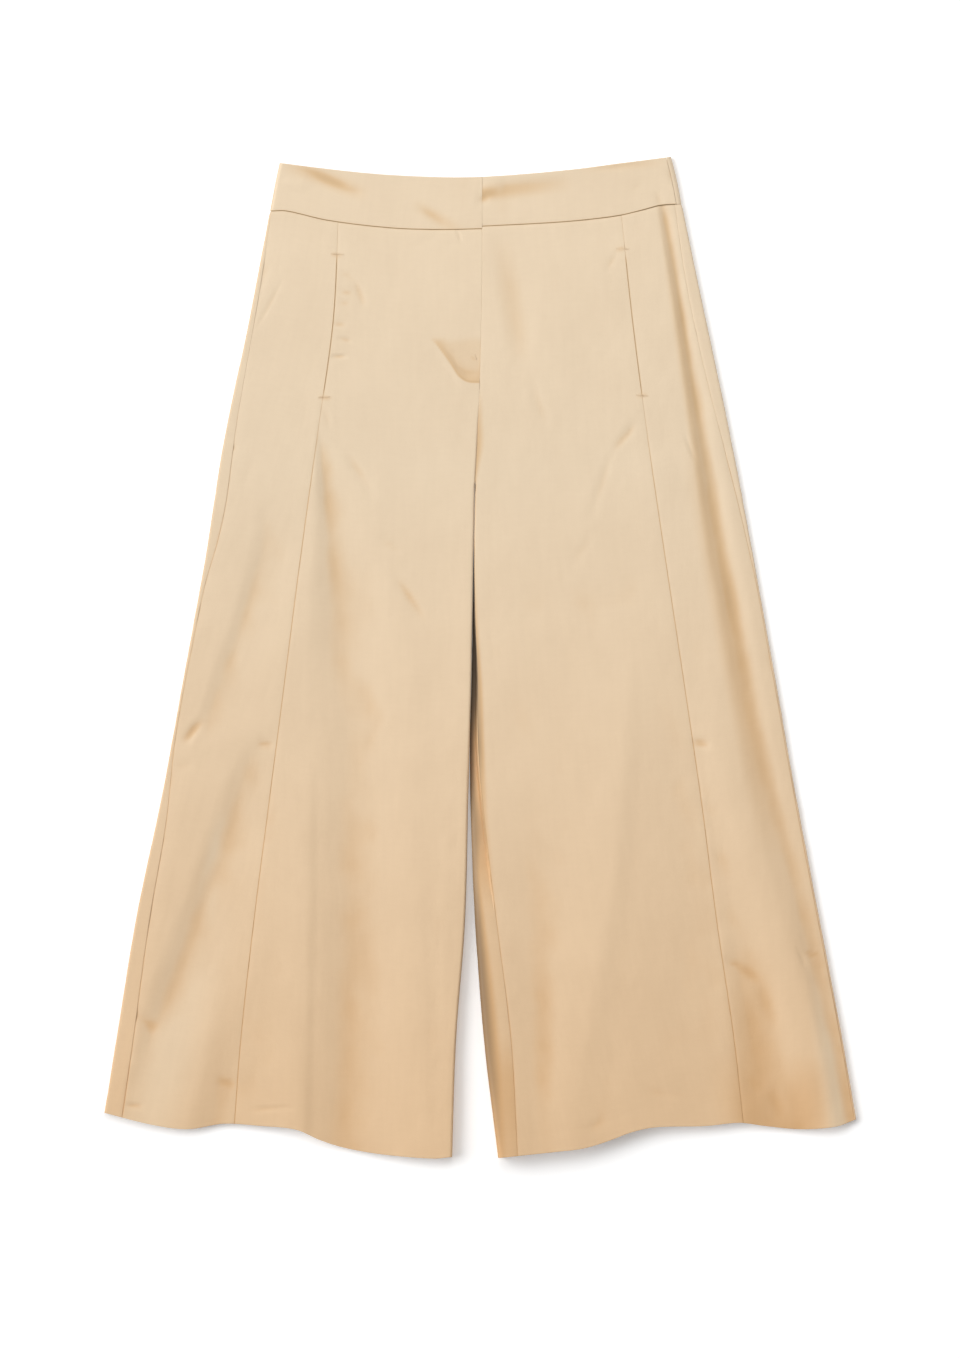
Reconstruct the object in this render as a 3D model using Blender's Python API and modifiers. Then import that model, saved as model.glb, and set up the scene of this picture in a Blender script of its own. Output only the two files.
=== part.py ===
"""Wide-leg culottes in cotton sateen, lying face up on a flat surface.

X runs across the garment towards the wearer's left, Y from the hems up to the waist, and Z up from
the surface. Sizes are in millimetres and angles in radians; the meshes are made in metres. Each
cloth piece is an open sheet, drawn in columns from the waist seam to the hem, that Solidify makes a
wall. The back panels wrap round the folded edges of the garment up to the side seams and inseams.
"""

import math
from collections import namedtuple

import bmesh
import bpy

MILLIMETRE = 0.001
RIGHT, LEFT = -1, 1  # the wearer's sides, and the signs of X there

# Walls, and the gap that every two pieces keep
CLOTH = 1.2
BAND = 2.0
POCKETING = 1.0
GAP = 0.3

CROTCH_LEVEL = 164.0
CLOSING = 9.0  # the legs' inner folds close over this depth below the crotch
SQUARE_CORNER, ROUND_CORNER, ROUNDING = 1.4, 4.0, 120.0  # their corners there, further down, and the depth between
SIDE_CORNER = 1.8  # the corners of the folded side edges
BACK_SHORT = 2.0  # how far the back hem and the back band stay inside the front outline
INNER_BAND = 34.0  # width of the stretch next to the inner edge that follows the fold

# The grids: rows down a panel, columns across a back panel, and the narrow last column of a wall
ROWS_ABOVE, ROWS_CLOSING, ROWS_BELOW = 9, 3, 17
BACK_MIDDLES = 5
BACK_EDGES = {RIGHT: 8, LEFT: 15}
END_COLUMN = 0.6
HEM_PROBE, WAIST_PROBE, BAND_PROBE = -450.0, 415.0, 440.0  # levels where lookups start
LOOKUPS = 4

# The lines down the garment: its folded side edges and its panel seams
Section = namedtuple("Section", "level right_edge right_seam left_seam left_edge")
SECTIONS = (
    Section(420, -197.5, -133.0, 132.5, 191.0),
    Section(317, -217.0, -138.0, 143.5, 212.5),
    Section(205, -240.5, -153.5, 158.0, 236.0),
    Section(92, -258.5, -169.0, 174.5, 257.5),
    Section(-21, -279.0, -183.5, 191.5, 278.0),
    Section(-134, -300.0, -198.0, 208.0, 298.0),
    Section(-247, -323.5, -212.5, 222.5, 319.5),
    Section(-360, -342.0, -225.0, 239.0, 341.0),
    Section(-433, -354.0, -230.5, 247.0, 353.5),
)

# The centre front line above the crotch
Centre = namedtuple("Centre", "level x")
CENTRE_FRONT = (Centre(420, 2.0), Centre(350, 1.8), Centre(250, -0.6), Centre(205, -2.4), Centre(162, -4.7))

# How far the side seams lie inside the folded side edges
SideSeam = namedtuple("SideSeam", "level right left")
SIDE_SEAMS = (
    SideSeam(420, 1.5, 7.0),
    SideSeam(355, 4.0, 11.0),
    SideSeam(300, 5.5, 11.5),
    SideSeam(240, 8.0, 10.0),
    SideSeam(151, 11.3, 5.0),
    SideSeam(110, 9.0, 3.0),
    SideSeam(70, 4.0, 1.5),
    SideSeam(20, 2.6, 1.5),
    SideSeam(-78, 2.6, 1.5),
    SideSeam(-160, 9.5, 1.5),
    SideSeam(-247, 12.8, 1.5),
    SideSeam(-360, 16.0, 1.5),
    SideSeam(-433, 17.5, 1.5),
)

# The legs' inner folded edges, how far the left inseam shows inside its edge, and how high the
# front lies over the back at each edge
Leg = namedtuple("Leg", "level right_inner left_inner left_inseam right_roll left_roll")
LEGS = (
    Leg(164, -4.9, -4.5, 1.0, 6.4, 6.4),
    Leg(92, -6.4, -5.7, 2.0, 7.4, 7.0),
    Leg(-21, -8.3, -7.6, 6.0, 9.0, 9.6),
    Leg(-134, -11.3, -8.9, 11.0, 10.0, 14.5),
    Leg(-247, -14.1, -4.7, 20.0, 10.5, 19.5),
    Leg(-360, -22.6, 3.8, 25.4, 11.5, 23.0),
    Leg(-470, -26.3, 16.9, 18.4, 12.5, 24.5),
)
RIGHT_INSEAM = -0.8  # along the cloth from the right leg's inner edge, round to its underside

# How high the front lies over the back: in the middle of a panel, and at the side edges
Rise = namedtuple("Rise", "level middle right left")
LAYERS = (
    Rise(420, 5.2, 5.0, 4.6),
    Rise(380, 6.2, 5.6, 4.4),
    Rise(317, 6.4, 6.0, 4.2),
    Rise(92, 6.6, 6.2, 4.0),
    Rise(-134, 7.4, 6.4, 4.2),
    Rise(-470, 8.6, 6.6, 5.0),
)
SIDE_REACH, INNER_REACH = 24.0, {RIGHT: 36.0, LEFT: 64.0}  # folds fade out over these widths towards the edges

# The outline of each leg's hem and of the waist, from the wearer's right to left
Outline = namedtuple("Outline", "x level")
RIGHT_HEM = (
    Outline(-354, -428), Outline(-308, -439.5), Outline(-275, -443.5), Outline(-241, -438.5),
    Outline(-207, -440.5), Outline(-173, -444), Outline(-150, -454), Outline(-128, -461),
    Outline(-94, -467), Outline(-45, -471), Outline(-26, -469.5),
)
LEFT_HEM = (
    Outline(17, -470), Outline(75, -464), Outline(98, -461), Outline(120, -454.5),
    Outline(143, -446), Outline(165, -441.5), Outline(211, -440.5), Outline(244, -437.5),
    Outline(267, -440.5), Outline(301, -443.5), Outline(335, -441), Outline(353.5, -434.5),
)
RIGHT_WAIST_SEAM = (
    Outline(-196, 420), Outline(-182, 420), Outline(-142, 411), Outline(-83, 404),
    Outline(-37, 402.5), Outline(2, 403.3),
)
LEFT_WAIST_SEAM = (
    Outline(-30, 403.5), Outline(2, 405.6), Outline(67, 409), Outline(102, 412), Outline(132, 416),
    Outline(153, 421), Outline(170, 425.4), Outline(190, 426.6),
)
CENTRE_BACK, CENTRE_BLEND = 404.5, 60.0  # the waist seam's level there, and the width that meets it
WAIST_EDGE = (
    Outline(-187, 465), Outline(-139, 459), Outline(-94, 454.5), Outline(-38, 451.8),
    Outline(0, 452), Outline(41, 454.6), Outline(87, 459), Outline(132, 464.8),
    Outline(180, 471),
)
BandEnd = namedtuple("BandEnd", "level right left")
BAND_ENDS = (BandEnd(420, -197.5, 190.8), BandEnd(450, -191.8, 185.0), BandEnd(470, -187.5, 180.0))

# The folds run down the legs. A crease rises by its height, or sinks if it is negative, over its
# reach to the left and to the right of its line. A climb stays high from its line on towards the
# inner leg.
Climb = namedtuple("Climb", "level x width height")
Crease = namedtuple("Crease", "level x left right height")
CLIMB_EASE = 0.4
CLIMBS = {
    RIGHT: (
        Climb(60, -80, 60, 0), Climb(0, -80, 60, 0.6), Climb(-100, -80, 60, 1.4), Climb(-250, -80, 60, 2.2),
        Climb(-440, -80, 60, 3.0),
    ),
    LEFT: (
        Climb(50, 168, 24, 0), Climb(-20, 170, 30, 1.8), Climb(-80, 172, 36, 3.6), Climb(-140, 174, 42, 5.2),
        Climb(-230, 176, 54, 7.2), Climb(-300, 176, 68, 9), Climb(-380, 178, 82, 10.2), Climb(-450, 180, 94, 11),
    ),
}
FOLDS = {
    RIGHT: {
        "pocket_fold": (
            Crease(222, -151.5, 3, 8, 0), Crease(200, -149, 7, 20, -1.2), Crease(160, -143.5, 13, 36, -2.6),
            Crease(120, -138, 20, 48, -3.4), Crease(80, -133, 28, 56, -4.1), Crease(40, -127, 36, 60, -4.4),
            Crease(0, -121, 46, 60, -4.3), Crease(-40, -117, 50, 60, -3.9), Crease(-80, -113, 48, 60, -3.3),
            Crease(-130, -114, 44, 60, -3.4), Crease(-200, -115, 43, 62, -3.6), Crease(-300, -117, 42, 66, -4.0),
            Crease(-440, -122, 44, 70, -4.4),
        ),
        "middle_edge": (
            Crease(-90, -161, 26, 9, 0), Crease(-140, -162, 30, 10, 0.9), Crease(-250, -163, 34, 11, 1.3),
            Crease(-440, -169, 36, 13, 1.5),
        ),
        "thigh_trough": (
            Crease(150, -196, 16, 34, 0), Crease(105, -200, 18, 46, -1.5), Crease(60, -212, 18, 54, -2.1),
            Crease(20, -224, 18, 56, -2.1), Crease(-20, -239, 18, 54, -1.9), Crease(-60, -252, 16, 44, -1.3),
            Crease(-85, -258, 14, 30, 0),
        ),
        "outer_trough": (
            Crease(-70, -206, 16, 20, 0), Crease(-85, -211, 18, 30, -1.0), Crease(-110, -217, 22, 44, -2.2),
            Crease(-145, -227, 26, 56, -3.2), Crease(-180, -238, 28, 64, -3.8), Crease(-240, -259, 28, 74, -4.2),
            Crease(-300, -281, 26, 80, -4.2), Crease(-330, -294, 22, 70, -3.4), Crease(-356, -306, 18, 40, 0),
        ),
        "seam_trough": (
            Crease(-240, -212, 26, 30, 0), Crease(-320, -222, 30, 50, -1.6), Crease(-360, -228, 32, 60, -2.8),
            Crease(-400, -234, 34, 66, -3.8), Crease(-440, -242, 36, 70, -4.6),
        ),
        "inner_trough": (
            Crease(-200, -44, 16, 14, 0), Crease(-300, -40, 16, 12, -0.6), Crease(-400, -37, 16, 10, -0.8),
            Crease(-470, -36, 16, 10, -0.5),
        ),
    },
    LEFT: {
        "side_groove": (
            Crease(430, 172, 7, 9, 0), Crease(424, 173, 7, 10, -1.2), Crease(395, 179, 9, 12, -2.3),
            Crease(335, 189.5, 10, 16, -2.9), Crease(260, 202, 12, 22, -3.2), Crease(200, 212, 14, 24, -3.4),
            Crease(120, 225, 17, 26, -3.6), Crease(50, 239, 19, 28, -3.6), Crease(-20, 253, 23, 28, -3.4),
            Crease(-80, 267, 28, 28, -3.4), Crease(-140, 284, 32, 26, -3.4), Crease(-210, 303, 34, 22, -3.0),
            Crease(-280, 320, 30, 16, -2.2), Crease(-340, 332, 26, 14, -1.4), Crease(-400, 344, 16, 10, 0),
        ),
        "front_trough": (
            Crease(398, 18, 14, 22, 0), Crease(370, 24, 16, 24, -0.6), Crease(330, 33, 18, 26, -0.9),
            Crease(295, 37, 16, 24, -0.8), Crease(270, 38, 14, 20, 0),
        ),
        "leg_ridge": (
            Crease(0, 138, 60, 16, 0), Crease(-60, 136, 60, 18, 0.5), Crease(-140, 130, 60, 22, 1.0),
            Crease(-230, 120, 56, 26, 1.3), Crease(-330, 102, 50, 30, 1.5), Crease(-450, 84, 44, 34, 1.6),
        ),
        "inner_trough": (
            Crease(-140, 56, 34, 36, 0), Crease(-230, 54, 34, 36, -0.2), Crease(-330, 52, 34, 34, -0.5),
            Crease(-450, 52, 34, 30, -0.8),
        ),
        "outer_crest": (
            Crease(0, 206, 24, 32, 0), Crease(-60, 219, 26, 36, 1.1), Crease(-120, 235, 30, 40, 2.0),
            Crease(-180, 254, 34, 42, 2.5), Crease(-250, 280, 40, 36, 2.5), Crease(-320, 305, 42, 28, 2.3),
            Crease(-380, 322, 42, 24, 2.1), Crease(-440, 336, 40, 20, 1.9),
        ),
        "seam_trough": (
            Crease(-230, 236, 12, 24, 0), Crease(-290, 248, 22, 34, -1.2), Crease(-350, 262, 34, 40, -2.2),
            Crease(-400, 274, 46, 42, -2.9), Crease(-440, 284, 54, 44, -3.3),
        ),
    },
}

# The pocket mouths on the panel seams, and the bags behind them
MOUTH_TOP, MOUTH_BOTTOM, MOUTH_OPEN, MOUTH_EASE = 380.0, 245.0, 0.9, 12.0
BAG_REACH, BAG_LAP, BAG_BOTTOM, BAG_CORNER = 88.0, 18.0, 218.0, 30.0
BAG_LIP, BAG_EASE = 0.6, 10.0
BAG_SPACE = 2.0  # between the middles of a bag's two layers
BELOW_WAIST = 3.0  # from the waist seam to the bags and the shield

# The fly: its shield under the centre front, and the band's underlap
SHIELD_REACH, SHIELD_BEYOND, SHIELD_END, SHIELD_CURVE = 34.0, 6.0, 252.0, 18.0
BAND_HEIGHT, BAND_LIFT, BAND_DIP = 5.6, 1.2, 1.2
UNDERLAP, LAP_MARGIN, BAND_EASE = 30.0, 4.0, 40.0
BAND_ROLL = (BAND_HEIGHT - BAND / 2) / 2
BAND_SEAM = {RIGHT: 1.0, LEFT: 5.0}  # its side seams, along the cloth from its side edges
BAND_GAP = 0.5  # there, where the band bends most
BAND_ROWS = 3

COTTON = (0.76, 0.57, 0.38, 1.0)
POCKET_COTTON = (0.80, 0.66, 0.49, 1.0)


def smooth_line(rows, position, column):
    """A column's value at a position given by the first column, on a smooth curve through the rows."""
    ordered = sorted(rows)
    places = [row[0] for row in ordered]
    values = [getattr(row, column) for row in ordered]
    if position <= places[0]:
        return values[0] + (position - places[0]) * (values[1] - values[0]) / (places[1] - places[0])
    if position >= places[-1]:
        return values[-1] + (position - places[-1]) * (values[-1] - values[-2]) / (places[-1] - places[-2])
    after = next(i for i, place in enumerate(places) if place > position)
    span = places[after] - places[after - 1]

    def slope(i):
        first, last = max(i - 1, 0), min(i + 1, len(places) - 1)
        return (values[last] - values[first]) / (places[last] - places[first])

    t = (position - places[after - 1]) / span
    start, end = values[after - 1], values[after]
    return (
        (2 * t**3 - 3 * t**2 + 1) * start
        + (t**3 - 2 * t**2 + t) * span * slope(after - 1)
        + (3 * t**2 - 2 * t**3) * end
        + (t**3 - t**2) * span * slope(after)
    )


def mix(start, end, share):
    return start + (end - start) * share


def ease(share):
    """A smooth step from 0 to 1."""
    share = min(max(share, 0.0), 1.0)
    return share * share * (3 - 2 * share)


def spread(count):
    """Even shares from 0 to 1, both ends included."""
    return [i / count for i in range(count + 1)]


def towards(start, end, share):
    """A place between two ends where share 1 is END_COLUMN short of the end, and share 2 is the end.

    The last column of a wall is narrow where it meets another piece on a bend, so that both rims
    stand square to the cloth and keep their gap.
    """
    last = end - math.copysign(END_COLUMN, end - start)
    return end if share > 1 else mix(start, last, share)


# ---- the lines of the garment


def of_side(side, right, left):
    return right if side == RIGHT else left


def side_edge(side, level):
    """The middle of the cloth where it folds round at the side."""
    column = of_side(side, "right_edge", "left_edge")
    return smooth_line(SECTIONS, level, column) - side * CLOTH / 2


def panel_seam(side, level):
    return smooth_line(SECTIONS, level, of_side(side, "right_seam", "left_seam"))


def centre_front(level):
    return smooth_line(CENTRE_FRONT, max(level, CENTRE_FRONT[-1].level), "x")


def closed(level):
    """0 above the crotch, where a panel ends at the centre seam, and 1 where the leg is a tube."""
    return ease((CROTCH_LEVEL - level) / CLOSING)


def inner_edge(side, level):
    """The middle of the cloth at the inner leg, or the panel's edge at the centre seam."""
    seam = centre_front(level) + side * GAP / 2
    below = min(level, CROTCH_LEVEL)
    fold = smooth_line(LEGS, below, of_side(side, "right_inner", "left_inner")) + side * CLOTH / 2
    return mix(seam, fold, closed(level - CLOSING / 2))


def inner_roll(side, level):
    """The height of the front over the back at the inner edge, and the radius of its corners."""
    height = smooth_line(LEGS, min(level, CROTCH_LEVEL), of_side(side, "right_roll", "left_roll"))
    full = ease((CROTCH_LEVEL - level) / ROUNDING)
    return height, mix(SQUARE_CORNER, min(height / 2, ROUND_CORNER), full)


def side_fold(side, level):
    """The height of the front over the back at the side edge, and the radius of its corners."""
    height = smooth_line(LAYERS, level, of_side(side, "right", "left"))
    return height, min(height / 2, SIDE_CORNER)


def half_turn(height, corner):
    """The length of cloth from the outermost point of a fold to the flat."""
    return height / 2 - corner + corner * math.pi / 2


def waist_seam(side, x):
    return smooth_line(of_side(side, RIGHT_WAIST_SEAM, LEFT_WAIST_SEAM), x, "level")


def back_waist_seam(side, x):
    """The back's waist seam is the front's, but with no step at the centre."""
    near = 1 - ease(abs(x - CENTRE_FRONT[0].x) / CENTRE_BLEND)
    return waist_seam(side, x) + near * (CENTRE_BACK - waist_seam(side, CENTRE_FRONT[0].x))


def hem(side, x):
    return smooth_line(of_side(side, RIGHT_HEM, LEFT_HEM), x, "level")


# ---- the front's height


def fold_height(folds, x, level):
    total = 0.0
    for rows in folds.values():
        if rows[-1].level < level < rows[0].level or level <= rows[-1].level and rows[-1].height:
            off = x - smooth_line(rows, level, "x")
            across = off / smooth_line(rows, level, "left" if off < 0 else "right")
            if abs(across) < 1:
                total += smooth_line(rows, level, "height") * math.cos(across * math.pi / 2) ** 2
    return total


def climb_height(side, x, level):
    rows = CLIMBS[side]
    if level > rows[0].level:
        return 0.0
    across = side * (smooth_line(rows, level, "x") - x) / smooth_line(rows, level, "width")
    share = min(max((across + 1) / 2, 0.0), 1.0)
    return smooth_line(rows, level, "height") * (share - CLIMB_EASE * math.sin(2 * math.pi * share) / (2 * math.pi))


def front_height(side, x, level):
    """The middle of the front cloth over the surface that the garment lies on."""
    height = smooth_line(LAYERS, level, "middle") + climb_height(side, x, level)
    height += fold_height(FOLDS[side], x, level)
    edge_height, side_corner = side_fold(side, level)
    from_side = side * (side_edge(side, level) - x)
    height = mix(edge_height, height, ease((from_side - side_corner) / SIDE_REACH))
    roll, corner = inner_roll(side, level)
    from_inner = side * (x - inner_edge(side, level))
    calm = mix(1.0, ease((from_inner - corner) / INNER_REACH[side]), closed(level))
    return CLOTH / 2 + mix(roll, height, calm)


# ---- the way round a folded edge
# "along" is measured on the cloth from the outermost point of the fold, positive on the front.


def around(along, height, corner):
    """How far inside the edge, and how high over the back, the cloth is at this distance."""
    wall = height / 2 - corner
    quarter = corner * math.pi / 2
    distance = abs(along)
    sign = 1 if along > 0 else -1
    if distance <= wall:
        return 0.0, height / 2 + along
    if distance <= wall + quarter:
        turn = (distance - wall) / corner
        return corner * (1 - math.cos(turn)), height / 2 + sign * (wall + corner * math.sin(turn))
    return corner + distance - wall - quarter, height / 2 * (1 + sign)


def along_at(inside, height, corner):
    """The distance along the cloth, on the front, of a point this far inside the edge."""
    wall = height / 2 - corner
    if inside < corner:
        return wall + corner * math.acos(1 - inside / corner)
    return wall + corner * math.pi / 2 + inside - corner


def point_at_side(side, along, level):
    """X and Z of the cloth at a distance along it from the side edge."""
    fold, corner = side_fold(side, level)
    inside, height = around(along, fold, corner)
    x = side_edge(side, level) - side * inside
    if along > 0 and inside >= corner:
        return x, front_height(side, x, level)
    return x, CLOTH / 2 + height


def point_at_inner(side, along, level, flat_front):
    """X and Z of the cloth at a distance along it from the leg's inner edge. Above the crotch it is flat."""
    roll, corner = inner_roll(side, level)
    edge = inner_edge(side, level)
    inside, height = around(along, roll, corner)
    x = edge + side * inside
    if along > 0 and inside >= corner:
        z = front_height(side, x, level)
    else:
        z = CLOTH / 2 + height
    shoulder = along_at(corner, roll, corner)
    flat_inside = max(corner + (along if flat_front else -along) - shoulder, 0.0)
    flat_x = edge + side * flat_inside
    flat_z = front_height(side, flat_x, level) if flat_front else CLOTH / 2
    share = closed(level)
    return mix(flat_x, x, share), mix(flat_z, z, share)


def side_seam(side, level):
    inset = smooth_line(SIDE_SEAMS, level, of_side(side, "right", "left")) - CLOTH / 2
    return along_at(inset, *side_fold(side, level))


def inseam(side, level):
    if side == RIGHT:
        return RIGHT_INSEAM
    roll, corner = inner_roll(side, level)
    inset = smooth_line(LEGS, min(level, CROTCH_LEVEL), "left_inseam") - CLOTH / 2
    return along_at(inset, roll, corner)


# ---- columns: each gives X, Z and how far short of the front outline its ends stop, at a level


def mouth_gap(level):
    """The panel seam's gap, which opens into the pocket mouth."""
    inside = min(MOUTH_TOP - level, level - MOUTH_BOTTOM)
    return mix(GAP, MOUTH_OPEN, ease(inside / MOUTH_EASE)) / 2


def side_panel_column(side, share):
    def at(level):
        width = side * (side_edge(side, level) - panel_seam(side, level)) - mouth_gap(level)
        start = along_at(width, *side_fold(side, level))
        end = side_seam(side, level) + GAP / 2
        return *point_at_side(side, towards(start, end, share), level), 0.0

    return at


def inner_start(side, level, flat_front):
    roll, corner = inner_roll(side, level)
    start = along_at(INNER_BAND, roll, corner)
    return start if flat_front else -start


def centre_panel_column(side, share):
    def at(level):
        start = panel_seam(side, level) - side * mouth_gap(level)
        end = inner_edge(side, level) + side * INNER_BAND
        x = mix(start, end, share)
        return x, front_height(side, x, level), 0.0

    return at


def centre_edge_column(side, share):
    def at(level):
        start = inner_start(side, level, True)
        flat_end = start - INNER_BAND
        end = mix(flat_end, inseam(side, level) + GAP / 2, closed(level))
        return *point_at_inner(side, towards(start, end, share), level, True), 0.0

    return at


TURN_SHARE = 0.7  # share of the columns of a back panel's side that lie on the fold itself
TURN_LEAST = 0.2  # and the least share of the cloth there that the others take


def back_side_column(side, share):
    """From the underside round the side edge to the side seam."""

    def at(level):
        under = -half_turn(*side_fold(side, level))
        seam = side_seam(side, level) - GAP / 2
        turn = min(-under, mix(seam, under, TURN_LEAST))
        if share < TURN_SHARE:
            along = mix(under, turn, share / TURN_SHARE)
        else:
            rest = (share - TURN_SHARE) / (1 - TURN_SHARE)
            along = towards(turn, seam, rest)
        short = BACK_SHORT * ease(along / under)
        return *point_at_side(side, along, level), short

    return at


def back_middle_column(side, share):
    def at(level):
        start = side_edge(side, level) - side * side_fold(side, level)[1]
        end = inner_edge(side, level) + side * INNER_BAND
        return mix(start, end, share), CLOTH / 2, BACK_SHORT

    return at


def back_edge_column(side, share):
    """From the underside round the leg's inner edge to the inseam."""

    def at(level):
        start = inner_start(side, level, False)
        flat_end = start + INNER_BAND
        end = mix(flat_end, inseam(side, level) - GAP / 2, closed(level))
        along = towards(start, end, share)
        short = BACK_SHORT * ease(1 - (along - start) / INNER_BAND) if along < 0 else 0.0
        return *point_at_inner(side, along, level, False), short

    return at


def drop(column, side, share, waist=waist_seam):
    """The point at a share of the way down a column, from the waist seam to the hem."""
    top, bottom = WAIST_PROBE, HEM_PROBE
    for _ in range(LOOKUPS):
        top = waist(side, column(top)[0]) - GAP / 2
        x, _, short = column(bottom)
        bottom = hem(side, x) + short
    level = mix(top, bottom, share)
    x, z, _ = column(level)
    return x, level, z


def row_shares():
    """The shares of the way down where the rows lie, close together at the crotch."""
    waist, bottom = waist_seam(RIGHT, -5), hem(RIGHT, -26)
    crotch = (waist - CROTCH_LEVEL) / (waist - bottom)
    closing = CLOSING / (waist - bottom)
    above = [share * crotch for share in spread(ROWS_ABOVE)]
    across = [crotch + share * closing for share in spread(ROWS_CLOSING)[1:]]
    below = [mix(across[-1], 1.0, share) for share in spread(ROWS_BELOW)[1:]]
    return above + across + below


def back_waist(side):
    """Where the flat columns of a back panel meet the band, from the side to the centre back."""
    columns = [back_middle_column(side, share) for share in spread(BACK_MIDDLES)]
    columns += [back_edge_column(side, share) for share in spread(BACK_EDGES[side])[1:] + [2]]
    return [drop(column, side, 0.0, back_waist_seam)[0] for column in columns[1:]]


# ---- meshes


def material(name, colour):
    made = bpy.data.materials.new(name)
    made.use_nodes = True
    shader = made.node_tree.nodes["Principled BSDF"]
    shader.inputs["Base Color"].default_value = colour
    shader.inputs["Roughness"].default_value = 0.75
    shader.inputs["Metallic"].default_value = 0.0
    made.diffuse_color = colour
    return made


def cloth_piece(name, place, columns, rows, thickness, colour=COTTON):
    """A grid whose points are put in place, made a wall by Solidify."""
    mesh = bpy.data.meshes.new(name)
    grid = bmesh.new()
    bmesh.ops.create_grid(grid, x_segments=columns, y_segments=rows, size=1.0)
    for vertex in grid.verts:
        column = round((vertex.co.x + 1) / 2 * columns)
        row = round((vertex.co.y + 1) / 2 * rows)
        vertex.co = [size * MILLIMETRE for size in place(column, row)]
    grid.to_mesh(mesh)
    grid.free()
    mesh.shade_smooth()
    mesh.materials.append(material(name, colour))
    piece = bpy.data.objects.new(name, mesh)
    GARMENT.objects.link(piece)
    wall = piece.modifiers.new("wall", "SOLIDIFY")
    wall.thickness = thickness * MILLIMETRE
    wall.offset = 0.0
    wall.use_even_offset = True
    wall.use_quality_normals = True
    return piece


def panel(name, side, columns, waist=waist_seam):
    """A piece whose columns hang from the waist seam."""
    shares = row_shares()

    def place(column, row):
        return drop(columns[column], side, shares[row], waist)

    return cloth_piece(name, place, len(columns) - 1, len(shares) - 1, CLOTH)


def front_side(side):
    closer_to_the_side = [0.0, 0.14, 0.28, 0.4, 0.5, 0.58, 0.66, 0.74, 0.82, 0.91, 1.0, 2.0]
    columns = [side_panel_column(side, share) for share in closer_to_the_side]
    return panel("front_side_" + of_side(side, "right", "left"), side, columns)


def front_centre(side):
    columns = [centre_panel_column(side, share) for share in spread(13)]
    columns += [centre_edge_column(side, share) for share in spread(of_side(side, 7, 3))[1:] + [2]]
    return panel("front_centre_" + of_side(side, "right", "left"), side, columns)


def back(side):
    columns = [back_side_column(side, share) for share in [2] + spread(6)[::-1]]
    columns += [back_middle_column(side, share) for share in spread(BACK_MIDDLES)[1:]]
    columns += [back_edge_column(side, share) for share in spread(BACK_EDGES[side])[1:] + [2]]
    return panel("back_" + of_side(side, "right", "left"), side, columns, back_waist_seam)


# ---- the waistband


def band_edge(side, level):
    return smooth_line(BAND_ENDS, level, of_side(side, "right", "left")) - side * BAND / 2


def band_height(side, x):
    """The right front of the band lifts over the left front's underlap."""
    lap = of_side(side, UNDERLAP + LAP_MARGIN, LAP_MARGIN / 2)
    inside = side * (x - centre_front(WAIST_PROBE)) - lap
    return BAND_HEIGHT + of_side(side, BAND_LIFT, -BAND_DIP) * (1 - ease(inside / BAND_EASE))


def band_level(waist, side, x, share, short):
    bottom = waist(side, x) + GAP / 2
    return mix(bottom, smooth_line(WAIST_EDGE, x, "level") - short, share)


def band_point(side, along, share, waist=waist_seam, short=0.0):
    """A point of the band at a distance along it from the side edge, and a share of its height."""
    level = BAND_PROBE
    for _ in range(LOOKUPS):
        distance = along(level)
        inside, height = around(distance, 2 * BAND_ROLL, BAND_ROLL)
        x = band_edge(side, level) - side * inside
        level = band_level(waist, side, x, share, short)
    if distance > 0 and inside >= BAND_ROLL:
        return x, level, band_height(side, x)
    return x, level, BAND / 2 + height


def band_front(side):
    centre = centre_front(WAIST_PROBE) - side * of_side(side, 0.0, UNDERLAP)
    shares = spread(22) + [2]

    def place(column, row):
        def along(level):
            start = along_at(side * (band_edge(side, level) - centre), 2 * BAND_ROLL, BAND_ROLL)
            return towards(start, BAND_SEAM[side] + BAND_GAP / 2, shares[column])

        return band_point(side, along, row / BAND_ROWS)

    name = "waistband_front_" + of_side(side, "right", "left")
    return cloth_piece(name, place, len(shares) - 1, BAND_ROWS, BAND)


def band_back():
    """From one side seam round both side edges, flat along the surface, to the other."""
    end = -BAND_ROLL * math.pi / 2
    turns = [2] + spread(5)[::-1]
    columns = [(RIGHT, towards(end, BAND_SEAM[RIGHT] - BAND_GAP / 2, share), None) for share in turns]
    columns += [(RIGHT, None, x) for x in back_waist(RIGHT)]
    columns += [(LEFT, None, x) for x in back_waist(LEFT)[::-1]]
    columns += [(LEFT, towards(end, BAND_SEAM[LEFT] - BAND_GAP / 2, share), None) for share in turns[::-1]]

    def place(column, row):
        side, along, x = columns[column]
        share = row / BAND_ROWS
        if along is None:
            return x, band_level(back_waist_seam, side, x, share, BACK_SHORT), BAND / 2
        return band_point(side, lambda level: along, share, back_waist_seam, BACK_SHORT * ease(along / end))

    return cloth_piece("waistband_back", place, len(columns) - 1, BAND_ROWS, BAND)


# ---- inside: the pocket bags and the fly shield


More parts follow.
